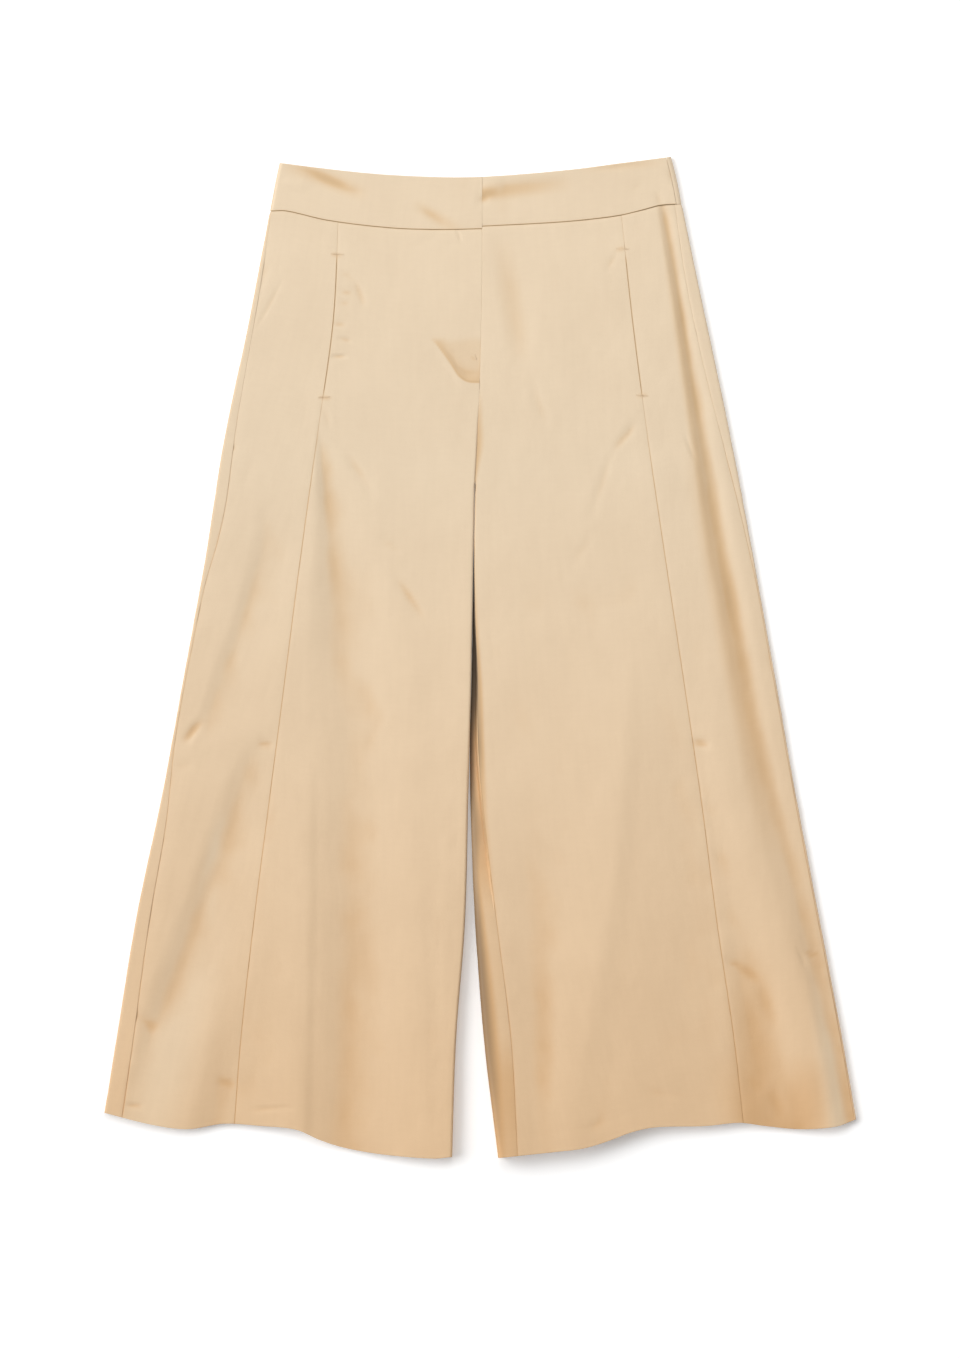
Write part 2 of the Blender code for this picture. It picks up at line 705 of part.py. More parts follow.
def pocket_bag(side):
    """One folded sheet: its lower layer, the fold towards the centre, and its upper layer."""
    under, turn, over, rows = 8, 3, 7, 8
    top_layer = CLOTH / 2 + GAP + POCKETING / 2

    def place(column, row):
        if column < under:
            reach, sink = mix(-BAG_LAP, BAG_REACH, column / under), BAG_SPACE
            sink *= ease(1 + reach / BAG_EASE)
        elif column <= under + turn:
            angle = (column - under) / turn * math.pi
            reach = BAG_REACH + math.sin(angle) * BAG_SPACE / 2
            sink = BAG_SPACE / 2 * (1 + math.cos(angle))
        else:
            reach, sink = mix(BAG_REACH, BAG_LIP, (column - under - turn) / over), 0.0
        across = (reach + BAG_LAP) / (BAG_REACH + BAG_LAP)
        top = waist_seam(side, panel_seam(side, WAIST_PROBE) - side * reach) - BELOW_WAIST
        bottom = BAG_BOTTOM + BAG_CORNER * abs(2 * across - 1) ** 3
        level = mix(top, bottom, row / rows)
        x = panel_seam(side, level) - side * reach
        return x, level, front_height(side, x, level) - top_layer - sink

    name = "pocket_bag_" + of_side(side, "right", "left")
    return cloth_piece(name, place, under + turn + over, rows, POCKETING, POCKET_COTTON)


def fly_shield():
    """A strip under the closed centre front, held by the left front and reaching under the right."""
    columns, rows = 5, 7

    def place(column, row):
        offset = mix(-SHIELD_REACH, SHIELD_BEYOND, column / columns)
        top = waist_seam(LEFT, centre_front(WAIST_PROBE) + offset) - BELOW_WAIST
        curve = SHIELD_CURVE * (1 - column / columns) ** 2
        level = mix(top, SHIELD_END + curve, row / rows)
        x = centre_front(level) + offset
        side = RIGHT if offset < 0 else LEFT
        return x, level, front_height(side, x, level) - CLOTH - GAP

    return cloth_piece("fly_shield", place, columns, rows, CLOTH)


for leftover in list(bpy.data.objects):
    bpy.data.objects.remove(leftover, do_unlink=True)
GARMENT = bpy.data.collections.new("culottes")
bpy.context.scene.collection.children.link(GARMENT)

for wearer_side in (RIGHT, LEFT):
    front_side(wearer_side)
    front_centre(wearer_side)
    back(wearer_side)
    band_front(wearer_side)
    pocket_bag(wearer_side)
band_back()
fly_shield()
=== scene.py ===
"""The look of wide-leg culottes in cotton sateen, lying face up on a pale floor.

X runs across the garment towards the wearer's left, Y from the hems up to the waist, and Z up from
the floor. Sizes are in millimetres; the meshes are made in metres. Every cloth piece is a grid of
points on the middle of the cloth, in columns from the waist seam to the hem, moved along its
normals by the seams, creases and crumples, and made a wall by Solidify.
"""

import math
from collections import namedtuple
from functools import partial

import bpy
import numpy as np
from bpy.props import FloatProperty, FloatVectorProperty, PointerProperty
from numpy.lib.stride_tricks import sliding_window_view
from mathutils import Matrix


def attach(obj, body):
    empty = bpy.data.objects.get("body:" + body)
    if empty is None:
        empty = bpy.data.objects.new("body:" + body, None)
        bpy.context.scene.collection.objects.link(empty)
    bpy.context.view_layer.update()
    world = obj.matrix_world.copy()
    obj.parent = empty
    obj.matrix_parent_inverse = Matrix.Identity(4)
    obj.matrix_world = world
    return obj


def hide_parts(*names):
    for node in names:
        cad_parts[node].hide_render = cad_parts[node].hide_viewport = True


bl_info = {
    "name": "Sateen culottes",
    "version": (1, 0, 0),
    "blender": (4, 5, 0),
    "location": "3D View > Sidebar > Culottes",
    "description": "Dresses wide-leg culottes in cotton sateen on a pale floor",
    "category": "Object",
}

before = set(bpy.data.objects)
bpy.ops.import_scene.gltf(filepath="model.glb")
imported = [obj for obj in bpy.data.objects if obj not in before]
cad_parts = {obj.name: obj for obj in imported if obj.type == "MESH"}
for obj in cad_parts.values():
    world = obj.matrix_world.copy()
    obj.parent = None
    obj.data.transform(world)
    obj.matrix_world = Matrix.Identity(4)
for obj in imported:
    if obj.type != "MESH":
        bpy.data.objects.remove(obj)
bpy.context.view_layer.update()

METRE = 0.001  # one millimetre
RIGHT, LEFT = -1, 1  # the wearer's sides, and the signs of X there
SIDES = {RIGHT: "right", LEFT: "left"}

# Walls, and the gap between two pieces
CLOTH, BAND, POCKETING = 1.2, 2.0, 1.0
GAP = 0.3
SEAM_GAP = 0.05  # the sewn seams of the dressed garment are closer

CROTCH_LEVEL, CLOSING = 164.0, 9.0
SIDE_CORNER, SQUARE_CORNER, ROUND_CORNER = 1.0, 0.9, {RIGHT: 1.0, LEFT: 4.0}
ROUND_FROM, ROUNDING = -40.0, 160.0
BACK_SHORT = 2.0
INNER_BAND = 34.0
HEM_PROBE, WAIST_PROBE, BAND_PROBE = -450.0, 415.0, 440.0
LOOKUPS = 4


def table(columns, *rows):
    """Rows of numbers with named columns."""
    row = namedtuple("Row", columns)
    return tuple(row(*numbers) for numbers in rows)


# The lines down the garment: its folded side edges and its panel seams
SECTIONS = table(
    "level right_edge right_seam left_seam left_edge",
    (420, -197.5, -133, 132.5, 191), (317, -217, -138, 143.5, 212.5), (205, -240.5, -153.5, 158, 236),
    (92, -258.5, -169, 174.5, 257.5), (-21, -279, -183.5, 191.5, 278), (-134, -300, -198, 208, 298),
    (-247, -323.5, -212.5, 222.5, 319.5), (-360, -342, -225, 239, 341), (-433, -354, -230.5, 247, 353.5),
)

# The centre front line above the crotch
CENTRE_FRONT = table("level x", (420, 2), (350, 1.8), (250, -0.6), (205, -2.4), (162, -4.7))

# How far the side seams lie inside the folded side edges
SIDE_SEAMS = table(
    "level right left",
    (420, 1.5, 7), (355, 4, 11), (300, 5.5, 11.5), (240, 8, 10), (151, 11.3, 5), (110, 9, 3), (70, 4, 1.5),
    (20, 2.6, 1.5), (-78, 2.6, 1.5), (-160, 9.5, 1.5), (-247, 12.8, 1.5), (-360, 16, 1.5),
    (-433, 17.5, 1.5),
)

# The legs' inner folded edges, how far the left inseam shows inside its edge, and how high the
# front lies over the back at each edge
LEGS = table(
    "level right_inner left_inner left_inseam right_roll left_roll",
    (164, -4.9, -4.5, 0.8, 6.4, 6.4), (92, -6.4, -6, 0.9, 7.4, 7), (40, -7.2, -6.9, 2.4, 8, 8),
    (-21, -8.3, -8, 5.8, 9, 9.6), (-80, -9.8, -9.4, 7.6, 9.6, 12), (-134, -11.3, -8.9, 11, 10, 14.5),
    (-247, -14.1, -4.7, 20, 10.5, 19.5), (-360, -22.6, 3.8, 25.4, 11.5, 23),
    (-470, -26.3, 16.9, 18.4, 12.5, 24.5),
)
RIGHT_INSEAM = -0.8

# How high the front lies over the back: in the middle of a panel, and at the side edges
LAYERS = table(
    "level middle right left",
    (420, 5.2, 5, 4.6), (380, 6.2, 5.6, 4.4), (317, 6.4, 6, 4.2), (92, 6.6, 6.2, 4), (-134, 7.4, 6.4, 4.2),
    (-470, 8.6, 6.6, 5),
)
SIDE_REACH, INNER_REACH = 24.0, {RIGHT: 36.0, LEFT: 64.0}

# The outline of each leg's hem and of the waist, from the wearer's right to left
outline = partial(table, "x level")
HEM = {
    RIGHT: outline(
        (-354, -428), (-308, -439.5), (-275, -443.5), (-241, -438.5), (-207, -440.5), (-173, -444),
        (-150, -454), (-128, -461), (-94, -467), (-45, -471), (-26, -469.5),
    ),
    LEFT: outline(
        (17, -470), (75, -464), (98, -461), (120, -454.5), (143, -446), (165, -441.5), (211, -440.5),
        (244, -437.5), (267, -440.5), (301, -443.5), (335, -441), (353.5, -434.5),
    ),
}
WAIST_SEAM = {
    RIGHT: outline(
        (-196, 420), (-182, 420), (-142, 411), (-83, 404), (-37, 402.5), (2, 403.3),
    ),
    LEFT: outline(
        (-30, 403.5), (2, 405.6), (67, 409), (102, 412), (132, 416), (153, 421), (170, 425.4), (190, 426.6),
    ),
}
CENTRE_BACK, CENTRE_BLEND = 404.5, 60.0
WAIST_EDGE = outline(
    (-187, 465), (-139, 459), (-94, 454.5), (-38, 451.8), (0, 452), (41, 454.6), (87, 459), (132, 464.8),
    (180, 471),
)
BAND_ENDS = table("level right left", (420, -197.5, 190.8), (450, -191.8, 185), (470, -187.5, 180))

# The folds run down the legs. A crease rises by its height, or sinks if it is negative, over its
# reach to the left and to the right of its line. A climb stays high from its line on towards the
# inner leg.
climbs, creases = partial(table, "level x width height"), partial(table, "level x left right height")
CLIMB_EASE = 0.4
CLIMBS = {
    RIGHT: climbs(
        (60, -80, 60, 0), (0, -80, 60, 0.6), (-100, -80, 60, 1.4), (-250, -80, 60, 2.2), (-440, -80, 60, 3),
    ),
    LEFT: climbs(
        (50, 168, 24, 0), (-20, 170, 30, 1.8), (-80, 172, 36, 3.6), (-140, 174, 42, 5.2),
        (-230, 176, 54, 7.2), (-300, 176, 68, 9), (-380, 178, 82, 10.2), (-450, 180, 94, 11),
    ),
}
FOLDS = {
    RIGHT: {
        "pocket_fold": creases(
            (222, -151.5, 3, 8, 0), (200, -149, 7, 20, -1.2), (160, -143.5, 13, 36, -2.6),
            (120, -138, 20, 48, -3.4), (80, -133, 28, 56, -4.1), (40, -127, 36, 60, -4.4),
            (0, -121, 46, 60, -4.3), (-40, -117, 50, 60, -3.9), (-80, -113, 48, 60, -3.3),
            (-130, -114, 44, 60, -3.4), (-200, -115, 43, 62, -3.6), (-300, -117, 42, 66, -4),
            (-440, -122, 44, 70, -4.4),
        ),
        "middle_edge": creases(
            (-90, -161, 26, 9, 0), (-140, -162, 30, 10, 0.9), (-250, -163, 34, 11, 1.3),
            (-440, -169, 36, 13, 1.5),
        ),
        "thigh_trough": creases(
            (150, -196, 16, 34, 0), (105, -200, 18, 46, -1.5), (60, -212, 18, 54, -2.1),
            (20, -224, 18, 56, -2.1), (-20, -239, 18, 54, -1.9), (-60, -252, 16, 44, -1.3),
            (-85, -258, 14, 30, 0),
        ),
        "outer_trough": creases(
            (-70, -206, 16, 20, 0), (-85, -211, 18, 30, -1), (-110, -217, 22, 44, -2.2),
            (-145, -227, 26, 56, -3.2), (-180, -238, 28, 64, -3.8), (-240, -259, 28, 74, -4.2),
            (-300, -281, 28, 76, -3.9), (-330, -294, 24, 70, -3), (-365, -310, 20, 62, -1.9),
            (-410, -324, 18, 56, -1.4), (-440, -333, 16, 52, -1.1),
        ),
        "seam_trough": creases(
            (-240, -212, 26, 30, 0), (-320, -222, 30, 50, -1.2), (-360, -228, 32, 60, -2),
            (-400, -234, 34, 66, -2.8), (-440, -242, 36, 70, -3.6),
        ),
        "inner_trough": creases(
            (-200, -44, 16, 14, 0), (-300, -40, 16, 12, -0.6), (-400, -37, 16, 10, -0.8),
            (-470, -36, 16, 10, -0.5),
        ),
    },
    LEFT: {
        "side_groove": creases(
            (430, 172, 7, 9, 0), (424, 173, 7, 10, -1.2), (395, 179, 9, 12, -2.3),
            (335, 189.5, 10, 16, -2.9), (260, 202, 12, 22, -3.2), (200, 212, 14, 24, -3.4),
            (120, 225, 17, 26, -3.6), (50, 239, 19, 28, -3.6), (-20, 253, 23, 28, -3.4),
            (-80, 267, 28, 28, -3.4), (-140, 284, 32, 26, -3.4), (-210, 303, 34, 22, -3),
            (-280, 320, 30, 16, -2.2), (-340, 332, 26, 14, -1.4), (-400, 344, 16, 10, 0),
        ),
        "front_trough": creases(
            (398, 18, 14, 22, 0), (370, 24, 16, 24, -0.6), (330, 33, 18, 26, -0.9), (295, 37, 16, 24, -0.8),
            (270, 38, 14, 20, 0),
        ),
        "leg_ridge": creases(
            (0, 138, 60, 16, 0), (-60, 136, 60, 18, 0.5), (-140, 130, 60, 22, 1), (-230, 120, 56, 26, 1.3),
            (-330, 102, 50, 30, 1.5), (-450, 84, 44, 34, 1.6),
        ),
        "inner_trough": creases(
            (-140, 56, 34, 36, 0), (-230, 54, 34, 36, -0.2), (-330, 52, 34, 34, -0.5),
            (-450, 52, 34, 30, -0.8),
        ),
        "outer_crest": creases(
            (0, 206, 24, 32, 0), (-60, 219, 26, 36, 1.1), (-120, 235, 30, 40, 2), (-180, 254, 34, 42, 2.5),
            (-250, 280, 40, 36, 2.5), (-320, 305, 42, 28, 2.3), (-380, 322, 42, 24, 2.1),
            (-440, 336, 40, 20, 1.9),
        ),
        "seam_trough": creases(
            (-230, 236, 12, 24, 0), (-290, 248, 22, 34, -1.2), (-350, 262, 34, 40, -2.2),
            (-400, 274, 46, 42, -2.9), (-440, 284, 54, 44, -3.3),
        ),
    },
}

# Short dents and puckers, each from one end to the other
dents = partial(table, "x level to_x to_level width height")
DENTS = {
    RIGHT: dents(
        # beside the pocket mouth
        (-133, 363, -117, 355, 5, -0.7), (-120, 358, -107, 328, 6, -0.8), (-134, 347, -115, 338, 3.5, -0.9),
        (-134, 333, -121, 333, 3.5, -0.8), (-139, 314, -124, 313, 4, -0.9), (-135, 301, -120, 297, 4, -0.8),
        (-141, 283, -124, 283, 4, -1), (-150, 240, -138, 210, 5, -0.6),
        # across the thigh
        (-140, 215, -96, 146, 9, -0.9), (-99, 116, -72, 96, 7, -0.7), (-86, 86, -48, 30, 7, -1),
        # at the hip
        (-212, 306, -183, 359, 3.5, -0.5), (-199, 376, -209, 338, 7, -0.5), (-244, 196, -226, 198, 4, -1),
        # below the waist seam
        (-23, 404, -16, 388, 3.5, -0.5), (-66, 384, -40, 396, 6, -0.3),
        # along the side and the outer panel
        (-260, -56, -280, -82, 7, -1.6), (-286, -101, -268, -102, 4, -0.8), (-211, -80, -192, -83, 6, -1),
        (-326, -332, -304, -352, 10, -1.5), (-342, -379, -326, -375, 5, -0.8),
        (-337, -421, -316, -422, 5, -0.8), (-250, -396, -228, -403, 7, -0.7),
        (-222, -426, -172, -423, 5, -0.5),
    ),
    LEFT: dents(
        (48, 262, 64, 215, 9, -0.7), (118, 364, 131, 382, 4, -0.5), (124, 194, 150, 223, 6, -0.9),
        (126, 200, 104, 130, 7, -0.5), (108, 118, 84, 84, 8, -0.4), (192, 211, 203, 184, 4, -0.8),
        # along the outer panel
        (198, -79, 218, -82, 6, -1.1), (228, -284, 247, -291, 6, -0.8), (243, -289, 264, -305, 8, -0.8),
        (260, -301, 282, -350, 13, -0.6), (297, -270, 308, -294, 4, -0.9), (299, -278, 323, -280, 4, -0.7),
        (244, -384, 262, -412, 10, -0.5), (272, -404, 284, -434, 10, -0.4), (98, -448, 120, -430, 8, -0.4),
        (150, -406, 200, -414, 8, -0.4),
    ),
}

# Painted shade on the cloth where the value is above nothing, and painted highlights where it is below, given
# like the dents
PAINTED_SHADES = {
    RIGHT: dents(
        (-141, 379, -128, 379, 2, 0.14), (-153, 244, -139, 244, 2, 0.14), (-9, 284, -4, 279, 2, 0.08),
        (-240, -140, -262, -260, 14, -0.09), (-250, -220, -345, -560, 50, -0.1),
    ),
    LEFT: dents(
        (124, 385, 140, 384, 2, 0.13), (146, 247, 158, 247, 2, 0.13), (250, -270, 274, -520, 32, 0.14),
        (308, -372, 296, -500, 36, 0.17), (20, 396, 38, 276, 15, 0.05), (163.5, 487, 222, 67, 9, 0.15),
        (200, 210, 277, -190, 19, 0.14), (232, -370, 268, -520, 30, 0.09),
        (316, -280, 350, -540, 18, -0.13),
    ),
}
# Painted shade on the waistband's fronts, given like the dents
BAND_PAINTED_SHADES = {
    RIGHT: dents((-186, 466, -104, 434, 11, 0.13), (-64, 428, -14, 398, 9, 0.08)),
    LEFT: dents((-48, 430, 88, 447, 11, 0.15), (-12, 434, 18, 438, 8, 0.13), (92, 460, 176, 466, 7, 0.06)),
}

# The pocket mouths on the panel seams, and the bags behind them
MOUTH_TOP, MOUTH_BOTTOM, MOUTH_EASE = 380.0, 245.0, 12.0
MOUTH_OPEN = {RIGHT: 0.26, LEFT: 0.2}
BAG_REACH, BAG_LAP, BAG_BOTTOM, BAG_CORNER = 88.0, 18.0, 218.0, 30.0
BAG_LIP, BAG_EASE = 0.6, 10.0
BAG_SPACE, BAG_TURN, BAG_GAP, BAG_TALL = 2.0, 3.1, 0.25, 195.0
BAG_COLUMN, BAG_TURN_COLUMN, SHIELD_COLUMN = 3.0, 0.5, 2.0
BELOW_WAIST = 3.0

# The fly: its shield under the centre front, and the band's underlap
SHIELD_REACH, SHIELD_BEYOND, SHIELD_END, SHIELD_CURVE, SHIELD_TALL = 34.0, 6.0, 252.0, 18.0, 150.0
BAND_HEIGHT, BAND_LIFT, BAND_DIP = 5.6, 0.1, 0.2
LAP_WALL, LAP_THIN = {RIGHT: 0.1, LEFT: 0.22}, 18.0
UNDERLAP, LAP_MARGIN, BAND_EASE = 30.0, 4.0, 40.0
BAND_ROLL = (BAND_HEIGHT - BAND / 2) / 2
BAND_SEAM = {RIGHT: 1.0, LEFT: 5.0}
BAND_GAP = 0.25

# How the cloth is pressed and sewn
EDGE_ROUND = 0.2  # radius of a wall's rounded edge
EDGE_LEAST = 0.8  # its thickness at the very edge, as a share
SEAM_SINK, WAIST_SINK, SEAM_ROLL = 0.06, 0.5, 2.2
ALLOWANCE, ALLOWANCE_RISE, ALLOWANCE_START, ALLOWANCE_END = 11.0, 0.07, 3.0, 4.0
HEM_TURN, HEM_WALL, HEM_EASE = 19.0, 1.35, 12.0
HELD_RELIEF, HELD_LENGTH, HELD_WIDTH = 0.1, 45.0, 2.5  # where the hem's stitches show
PUCKER_RELIEF, PUCKER_REACH, PUCKER_SPACING, PUCKER_RUN = 0.35, 7.0, 9.0, 72.0
CENTRE_PRESS, MOUTH_CALM, MOUTH_FADE = 0.2, 0.6, 6.0  # there is less of it at the centre and the mouths
FACING = 1.4  # the front's small forms fade where it turns away from above


# ---- curves and steps


def smooth_line(rows, position, column):
    """A column's values at positions given by the first column, on a smooth curve through the rows."""
    ordered = sorted(rows)
    places = np.array([row[0] for row in ordered], float)
    values = np.array([getattr(row, column) for row in ordered], float)
    ends = np.diff(values) / np.diff(places)
    slopes = np.concatenate([ends[:1], (values[2:] - values[:-2]) / (places[2:] - places[:-2]), ends[-1:]])
    i = np.clip(np.searchsorted(places, position, side="right") - 1, 0, len(places) - 2)
    span = places[i + 1] - places[i]
    t = np.clip((position - places[i]) / span, 0.0, 1.0)
    before, after = np.minimum(position - places[0], 0.0), np.maximum(position - places[-1], 0.0)
    return (
        (2 * t**3 - 3 * t**2 + 1) * values[i]
        + (t**3 - 2 * t**2 + t) * span * slopes[i]
        + (3 * t**2 - 2 * t**3) * values[i + 1]
        + (t**3 - t**2) * span * slopes[i + 1]
        + (slopes[0] * before + slopes[-1] * after)
    )


def run_value(rows, level, column):
    """A column's value: nothing above the first row, nor below a last row where it is nothing."""
    runs = (level < rows[0].level) & ((level > rows[-1].level) | bool(getattr(rows[-1], column)))
    return np.where(runs, smooth_line(rows, level, column), 0.0)


def mix(start, end, share):
    """The value a share of the way from the start to the end."""
    return start + (end - start) * share


def ease(share):
    """A smooth step from 0 to 1."""
    share = np.clip(share, 0.0, 1.0)
    return share * share * (3 - 2 * share)


def swell(share):
    """A smooth hump, 1 at 0 and nothing from -1 and 1 outwards."""
    return np.cos(np.clip(share, -1, 1) * math.pi / 2)


def stations(length, coarse, places=None, fine=0.22, growth=0.3):
    """Shares of a line's length from 0 to 1, closer together near its ends or the places given."""
    places = (0.0, length) if places is None else places
    found = [0.0]
    while found[-1] < length:
        near = min(abs(found[-1] - place) for place in places)
        found.append(found[-1] + min(coarse, fine + growth * near))
    return np.array(found) / found[-1]


def lumps(x, y, across, down, seed):
    """Smooth noise from -1 to 1, in lumps of these sizes."""
    count = 97
    lattice = np.random.default_rng(seed).uniform(-1, 1, (count, count))
    u, v = np.broadcast_arrays(x / across, y / down)
    i, j = np.floor(u).astype(int), np.floor(v).astype(int)
    s, t = ease(u - i), ease(v - j)

    def at(a, b):
        return lattice[(i + a) % count, (j + b) % count]

    return mix(mix(at(0, 0), at(1, 0), s), mix(at(0, 1), at(1, 1), s), t)


def ripple(along, length, seed):
    """Smooth noise from -1 to 1 along a line."""
    return lumps(along, 0.0 * along, length, 1.0, seed)


def grid_of(x, level, z):
    """Points, rows by columns by X, level and Z."""
    return np.stack(np.broadcast_arrays(x, level, z), axis=2)


# ---- the lines of the garment


def of_side(side, right, left):
    return right if side == RIGHT else left


def side_line(rows, side, level, column=""):
    """The right or left column of a table, on a smooth curve."""
    return smooth_line(rows, level, SIDES[side] + column)


def leg_line(side, level, column):
    """A line of the leg, which keeps its value at the crotch above it."""
    return side_line(LEGS, side, np.minimum(level, CROTCH_LEVEL), column)


def side_edge(side, level):
    return side_line(SECTIONS, side, level, "_edge") - side * CLOTH / 2


def panel_seam(side, level):
    return side_line(SECTIONS, side, level, "_seam")


def centre_front(level):
    return smooth_line(CENTRE_FRONT, np.maximum(level, CENTRE_FRONT[-1].level), "x")


def closed(level):
    """0 above the crotch, where a panel ends at the centre seam, and 1 where the leg is a tube."""
    return ease((CROTCH_LEVEL - level) / CLOSING)


def inner_edge(side, level):
    """The middle of the cloth at the inner leg, or the panel's edge at the centre seam."""
    seam = centre_front(level) + side * SEAM_GAP / 2
    return mix(seam, leg_line(side, level, "_inner") + side * CLOTH / 2, closed(level - CLOSING / 2))


def inner_roll(side, level):
    """The height of the front over the back at the inner edge, and the radius of its corners."""
    height = leg_line(side, level, "_roll")
    full = ease((ROUND_FROM - level) / ROUNDING)
    return height, mix(SQUARE_CORNER, np.minimum(height / 2, ROUND_CORNER[side]), full)


def side_fold(side, level):
    """The height of the front over the back at the side edge, and the radius of its corners."""
    height = side_line(LAYERS, side, level)
    return height, np.minimum(height / 2, SIDE_CORNER)


def half_turn(height, corner):
    """The length of cloth from the outermost point of a fold to the flat."""
    return height / 2 - corner + corner * math.pi / 2


def waist_seam(side, x):
    return smooth_line(WAIST_SEAM[side], x, "level")


def back_waist_seam(side, x):
    """The back's waist seam is the front's, but with no step at the centre."""
    near = 1 - ease(abs(x - CENTRE_FRONT[0].x) / CENTRE_BLEND)
    return waist_seam(side, x) + near * (CENTRE_BACK - waist_seam(side, CENTRE_FRONT[0].x))


def hem(side, x):
    return smooth_line(HEM[side], x, "level")


# ---- the front's height


def fold_height(folds, x, level):
    total = 0.0
    for rows in folds.values():
        line, left, right = (smooth_line(rows, level, column) for column in ("x", "left", "right"))
        off = x - line
        reach = np.where(off < 0, left, right)
        total = total + run_value(rows, level, "height") * swell(off / np.maximum(reach, 1.0)) ** 2
    return total


def climb_height(side, x, level):
    rows = CLIMBS[side]
    across = side * (smooth_line(rows, level, "x") - x) / smooth_line(rows, level, "width")
    share = np.clip((across + 1) / 2, 0.0, 1.0)
    share = share - CLIMB_EASE * np.sin(2 * math.pi * share) / (2 * math.pi)
    return run_value(rows, level, "height") * share


def front_height(side, x, level):
    """The middle of the front cloth over the floor, with the large folds."""
    height = smooth_line(LAYERS, level, "middle") + climb_height(side, x, level)
    height = height + fold_height(FOLDS[side], x, level)
    edge_height, side_corner = side_fold(side, level)
    from_side = side * (side_edge(side, level) - x)
    height = mix(edge_height, height, ease((from_side - side_corner) / SIDE_REACH))
    roll, corner = inner_roll(side, level)
    from_inner = side * (x - inner_edge(side, level))
    calm = mix(1.0, ease((from_inner - corner) / INNER_REACH[side]), closed(level))
    return CLOTH / 2 + mix(roll, height, calm)


# ---- the way round a folded edge
# "along" is measured on the cloth from the outermost point of the fold, positive on the front.


def around(along, height, corner):
    """How far inside the edge, and how high over the back, the cloth is at this distance."""
    wall = height / 2 - corner
    distance = np.abs(along)
    turn = np.clip((distance - wall) / corner, 0.0, math.pi / 2)
    flat = np.maximum(distance - wall - corner * math.pi / 2, 0.0)
    up = np.minimum(distance, wall) + corner * np.sin(turn)
    return corner * (1 - np.cos(turn)) + flat, height / 2 + np.sign(along) * up


def along_at(inside, height, corner):
    """The distance along the cloth, on the front, of a point this far inside the edge."""
    wall = height / 2 - corner
    bent = wall + corner * np.arccos(1 - np.clip(inside / corner, 0.0, 1.0))
    return np.where(inside < corner, bent, wall + corner * math.pi / 2 + inside - corner)


def round_edge(side, along, level, edge, inwards, fold, corner):
    """X and Z of the cloth along it from a folded edge. inwards is the sign of X away from the edge."""
    inside, height = around(along, fold, corner)
    x = edge + inwards * inside
    on_front = (along > 0) & (inside >= corner)
    return x, np.where(on_front, front_height(side, x, level), CLOTH / 2 + height)


def point_at_side(side, along, level):
    return round_edge(side, along, level, side_edge(side, level), -side, *side_fold(side, level))


def point_at_inner(side, along, level, flat_front):
    """X and Z of the cloth along it from the leg's inner edge. Above the crotch it is flat."""
    roll, corner = inner_roll(side, level)
    edge = inner_edge(side, level)
    x, z = round_edge(side, along, level, edge, side, roll, corner)
    shoulder = along_at(corner, roll, corner)
    flat_x = edge + side * np.maximum(corner + (along if flat_front else -along) - shoulder, 0.0)
    flat_z = front_height(side, flat_x, level) if flat_front else CLOTH / 2
    return mix(flat_x, x, closed(level)), mix(flat_z, z, closed(level))


def side_seam(side, level):
    return along_at(side_line(SIDE_SEAMS, side, level) - CLOTH / 2, *side_fold(side, level))


def inseam_inset(level):
    """How far the left inseam lies inside the middle of the cloth at its edge."""
    return leg_line(LEFT, level, "_inseam") - CLOTH / 2


def inseam(side, level):
    if side == RIGHT:
        return RIGHT_INSEAM
    return along_at(inseam_inset(level), *inner_roll(side, level))


# ---- columns: each gives X, Z and how far short of the front outline its ends stop, at a level


def mouth_gap(side, level):
    """The panel seam's gap, which opens into the pocket mouth."""
    inside = np.minimum(MOUTH_TOP - level, level - MOUTH_BOTTOM)
    return mix(SEAM_GAP, MOUTH_OPEN[side], ease(inside / MOUTH_EASE)) / 2


def side_panel_columns(side, share, level):
    width = side * (side_edge(side, level) - panel_seam(side, level)) - mouth_gap(side, level)
    start = along_at(width, *side_fold(side, level))
    end = side_seam(side, level) + SEAM_GAP / 2
    return *point_at_side(side, mix(start, end, share), level), 0.0


def inner_start(side, level, flat_front):
    start = along_at(INNER_BAND, *inner_roll(side, level))
    return start if flat_front else -start


def centre_panel_columns(side, share, level):
    start = panel_seam(side, level) - side * mouth_gap(side, level)
    x = mix(start, inner_edge(side, level) + side * INNER_BAND, share)
    return x, front_height(side, x, level), 0.0


def centre_edge_columns(side, share, level):
    start = inner_start(side, level, True)
    end = mix(start - INNER_BAND, inseam(side, level) + SEAM_GAP / 2, closed(level))
    return *point_at_inner(side, mix(start, end, share), level, True), 0.0


TURN_SHARE, TURN_LEAST = 0.7, 0.2


def back_side_columns(side, share, level):
    """From the underside round the side edge to the side seam."""
    under = -half_turn(*side_fold(side, level))
    seam = side_seam(side, level) - SEAM_GAP / 2
    turn = np.minimum(-under, mix(seam, under, TURN_LEAST))
    beyond = mix(turn, seam, (share - TURN_SHARE) / (1 - TURN_SHARE))
    along = np.where(share < TURN_SHARE, mix(under, turn, share / TURN_SHARE), beyond)
    return *point_at_side(side, along, level), BACK_SHORT * ease(along / under)


def back_middle_columns(side, share, level):
    start = side_edge(side, level) - side * side_fold(side, level)[1]
    end = inner_edge(side, level) + side * INNER_BAND
    return mix(start, end, share), CLOTH / 2, BACK_SHORT


# The left leg's inner strip lies low where the legs meet, and comes up further down
STRIP = table(
    "level sink",
    (158, 0), (148, 0.9), (120, 0.96), (-20, 0.94), (-90, 0.86), (-150, 0.5), (-240, 0),
)
STRIP_RAMP = 1.0


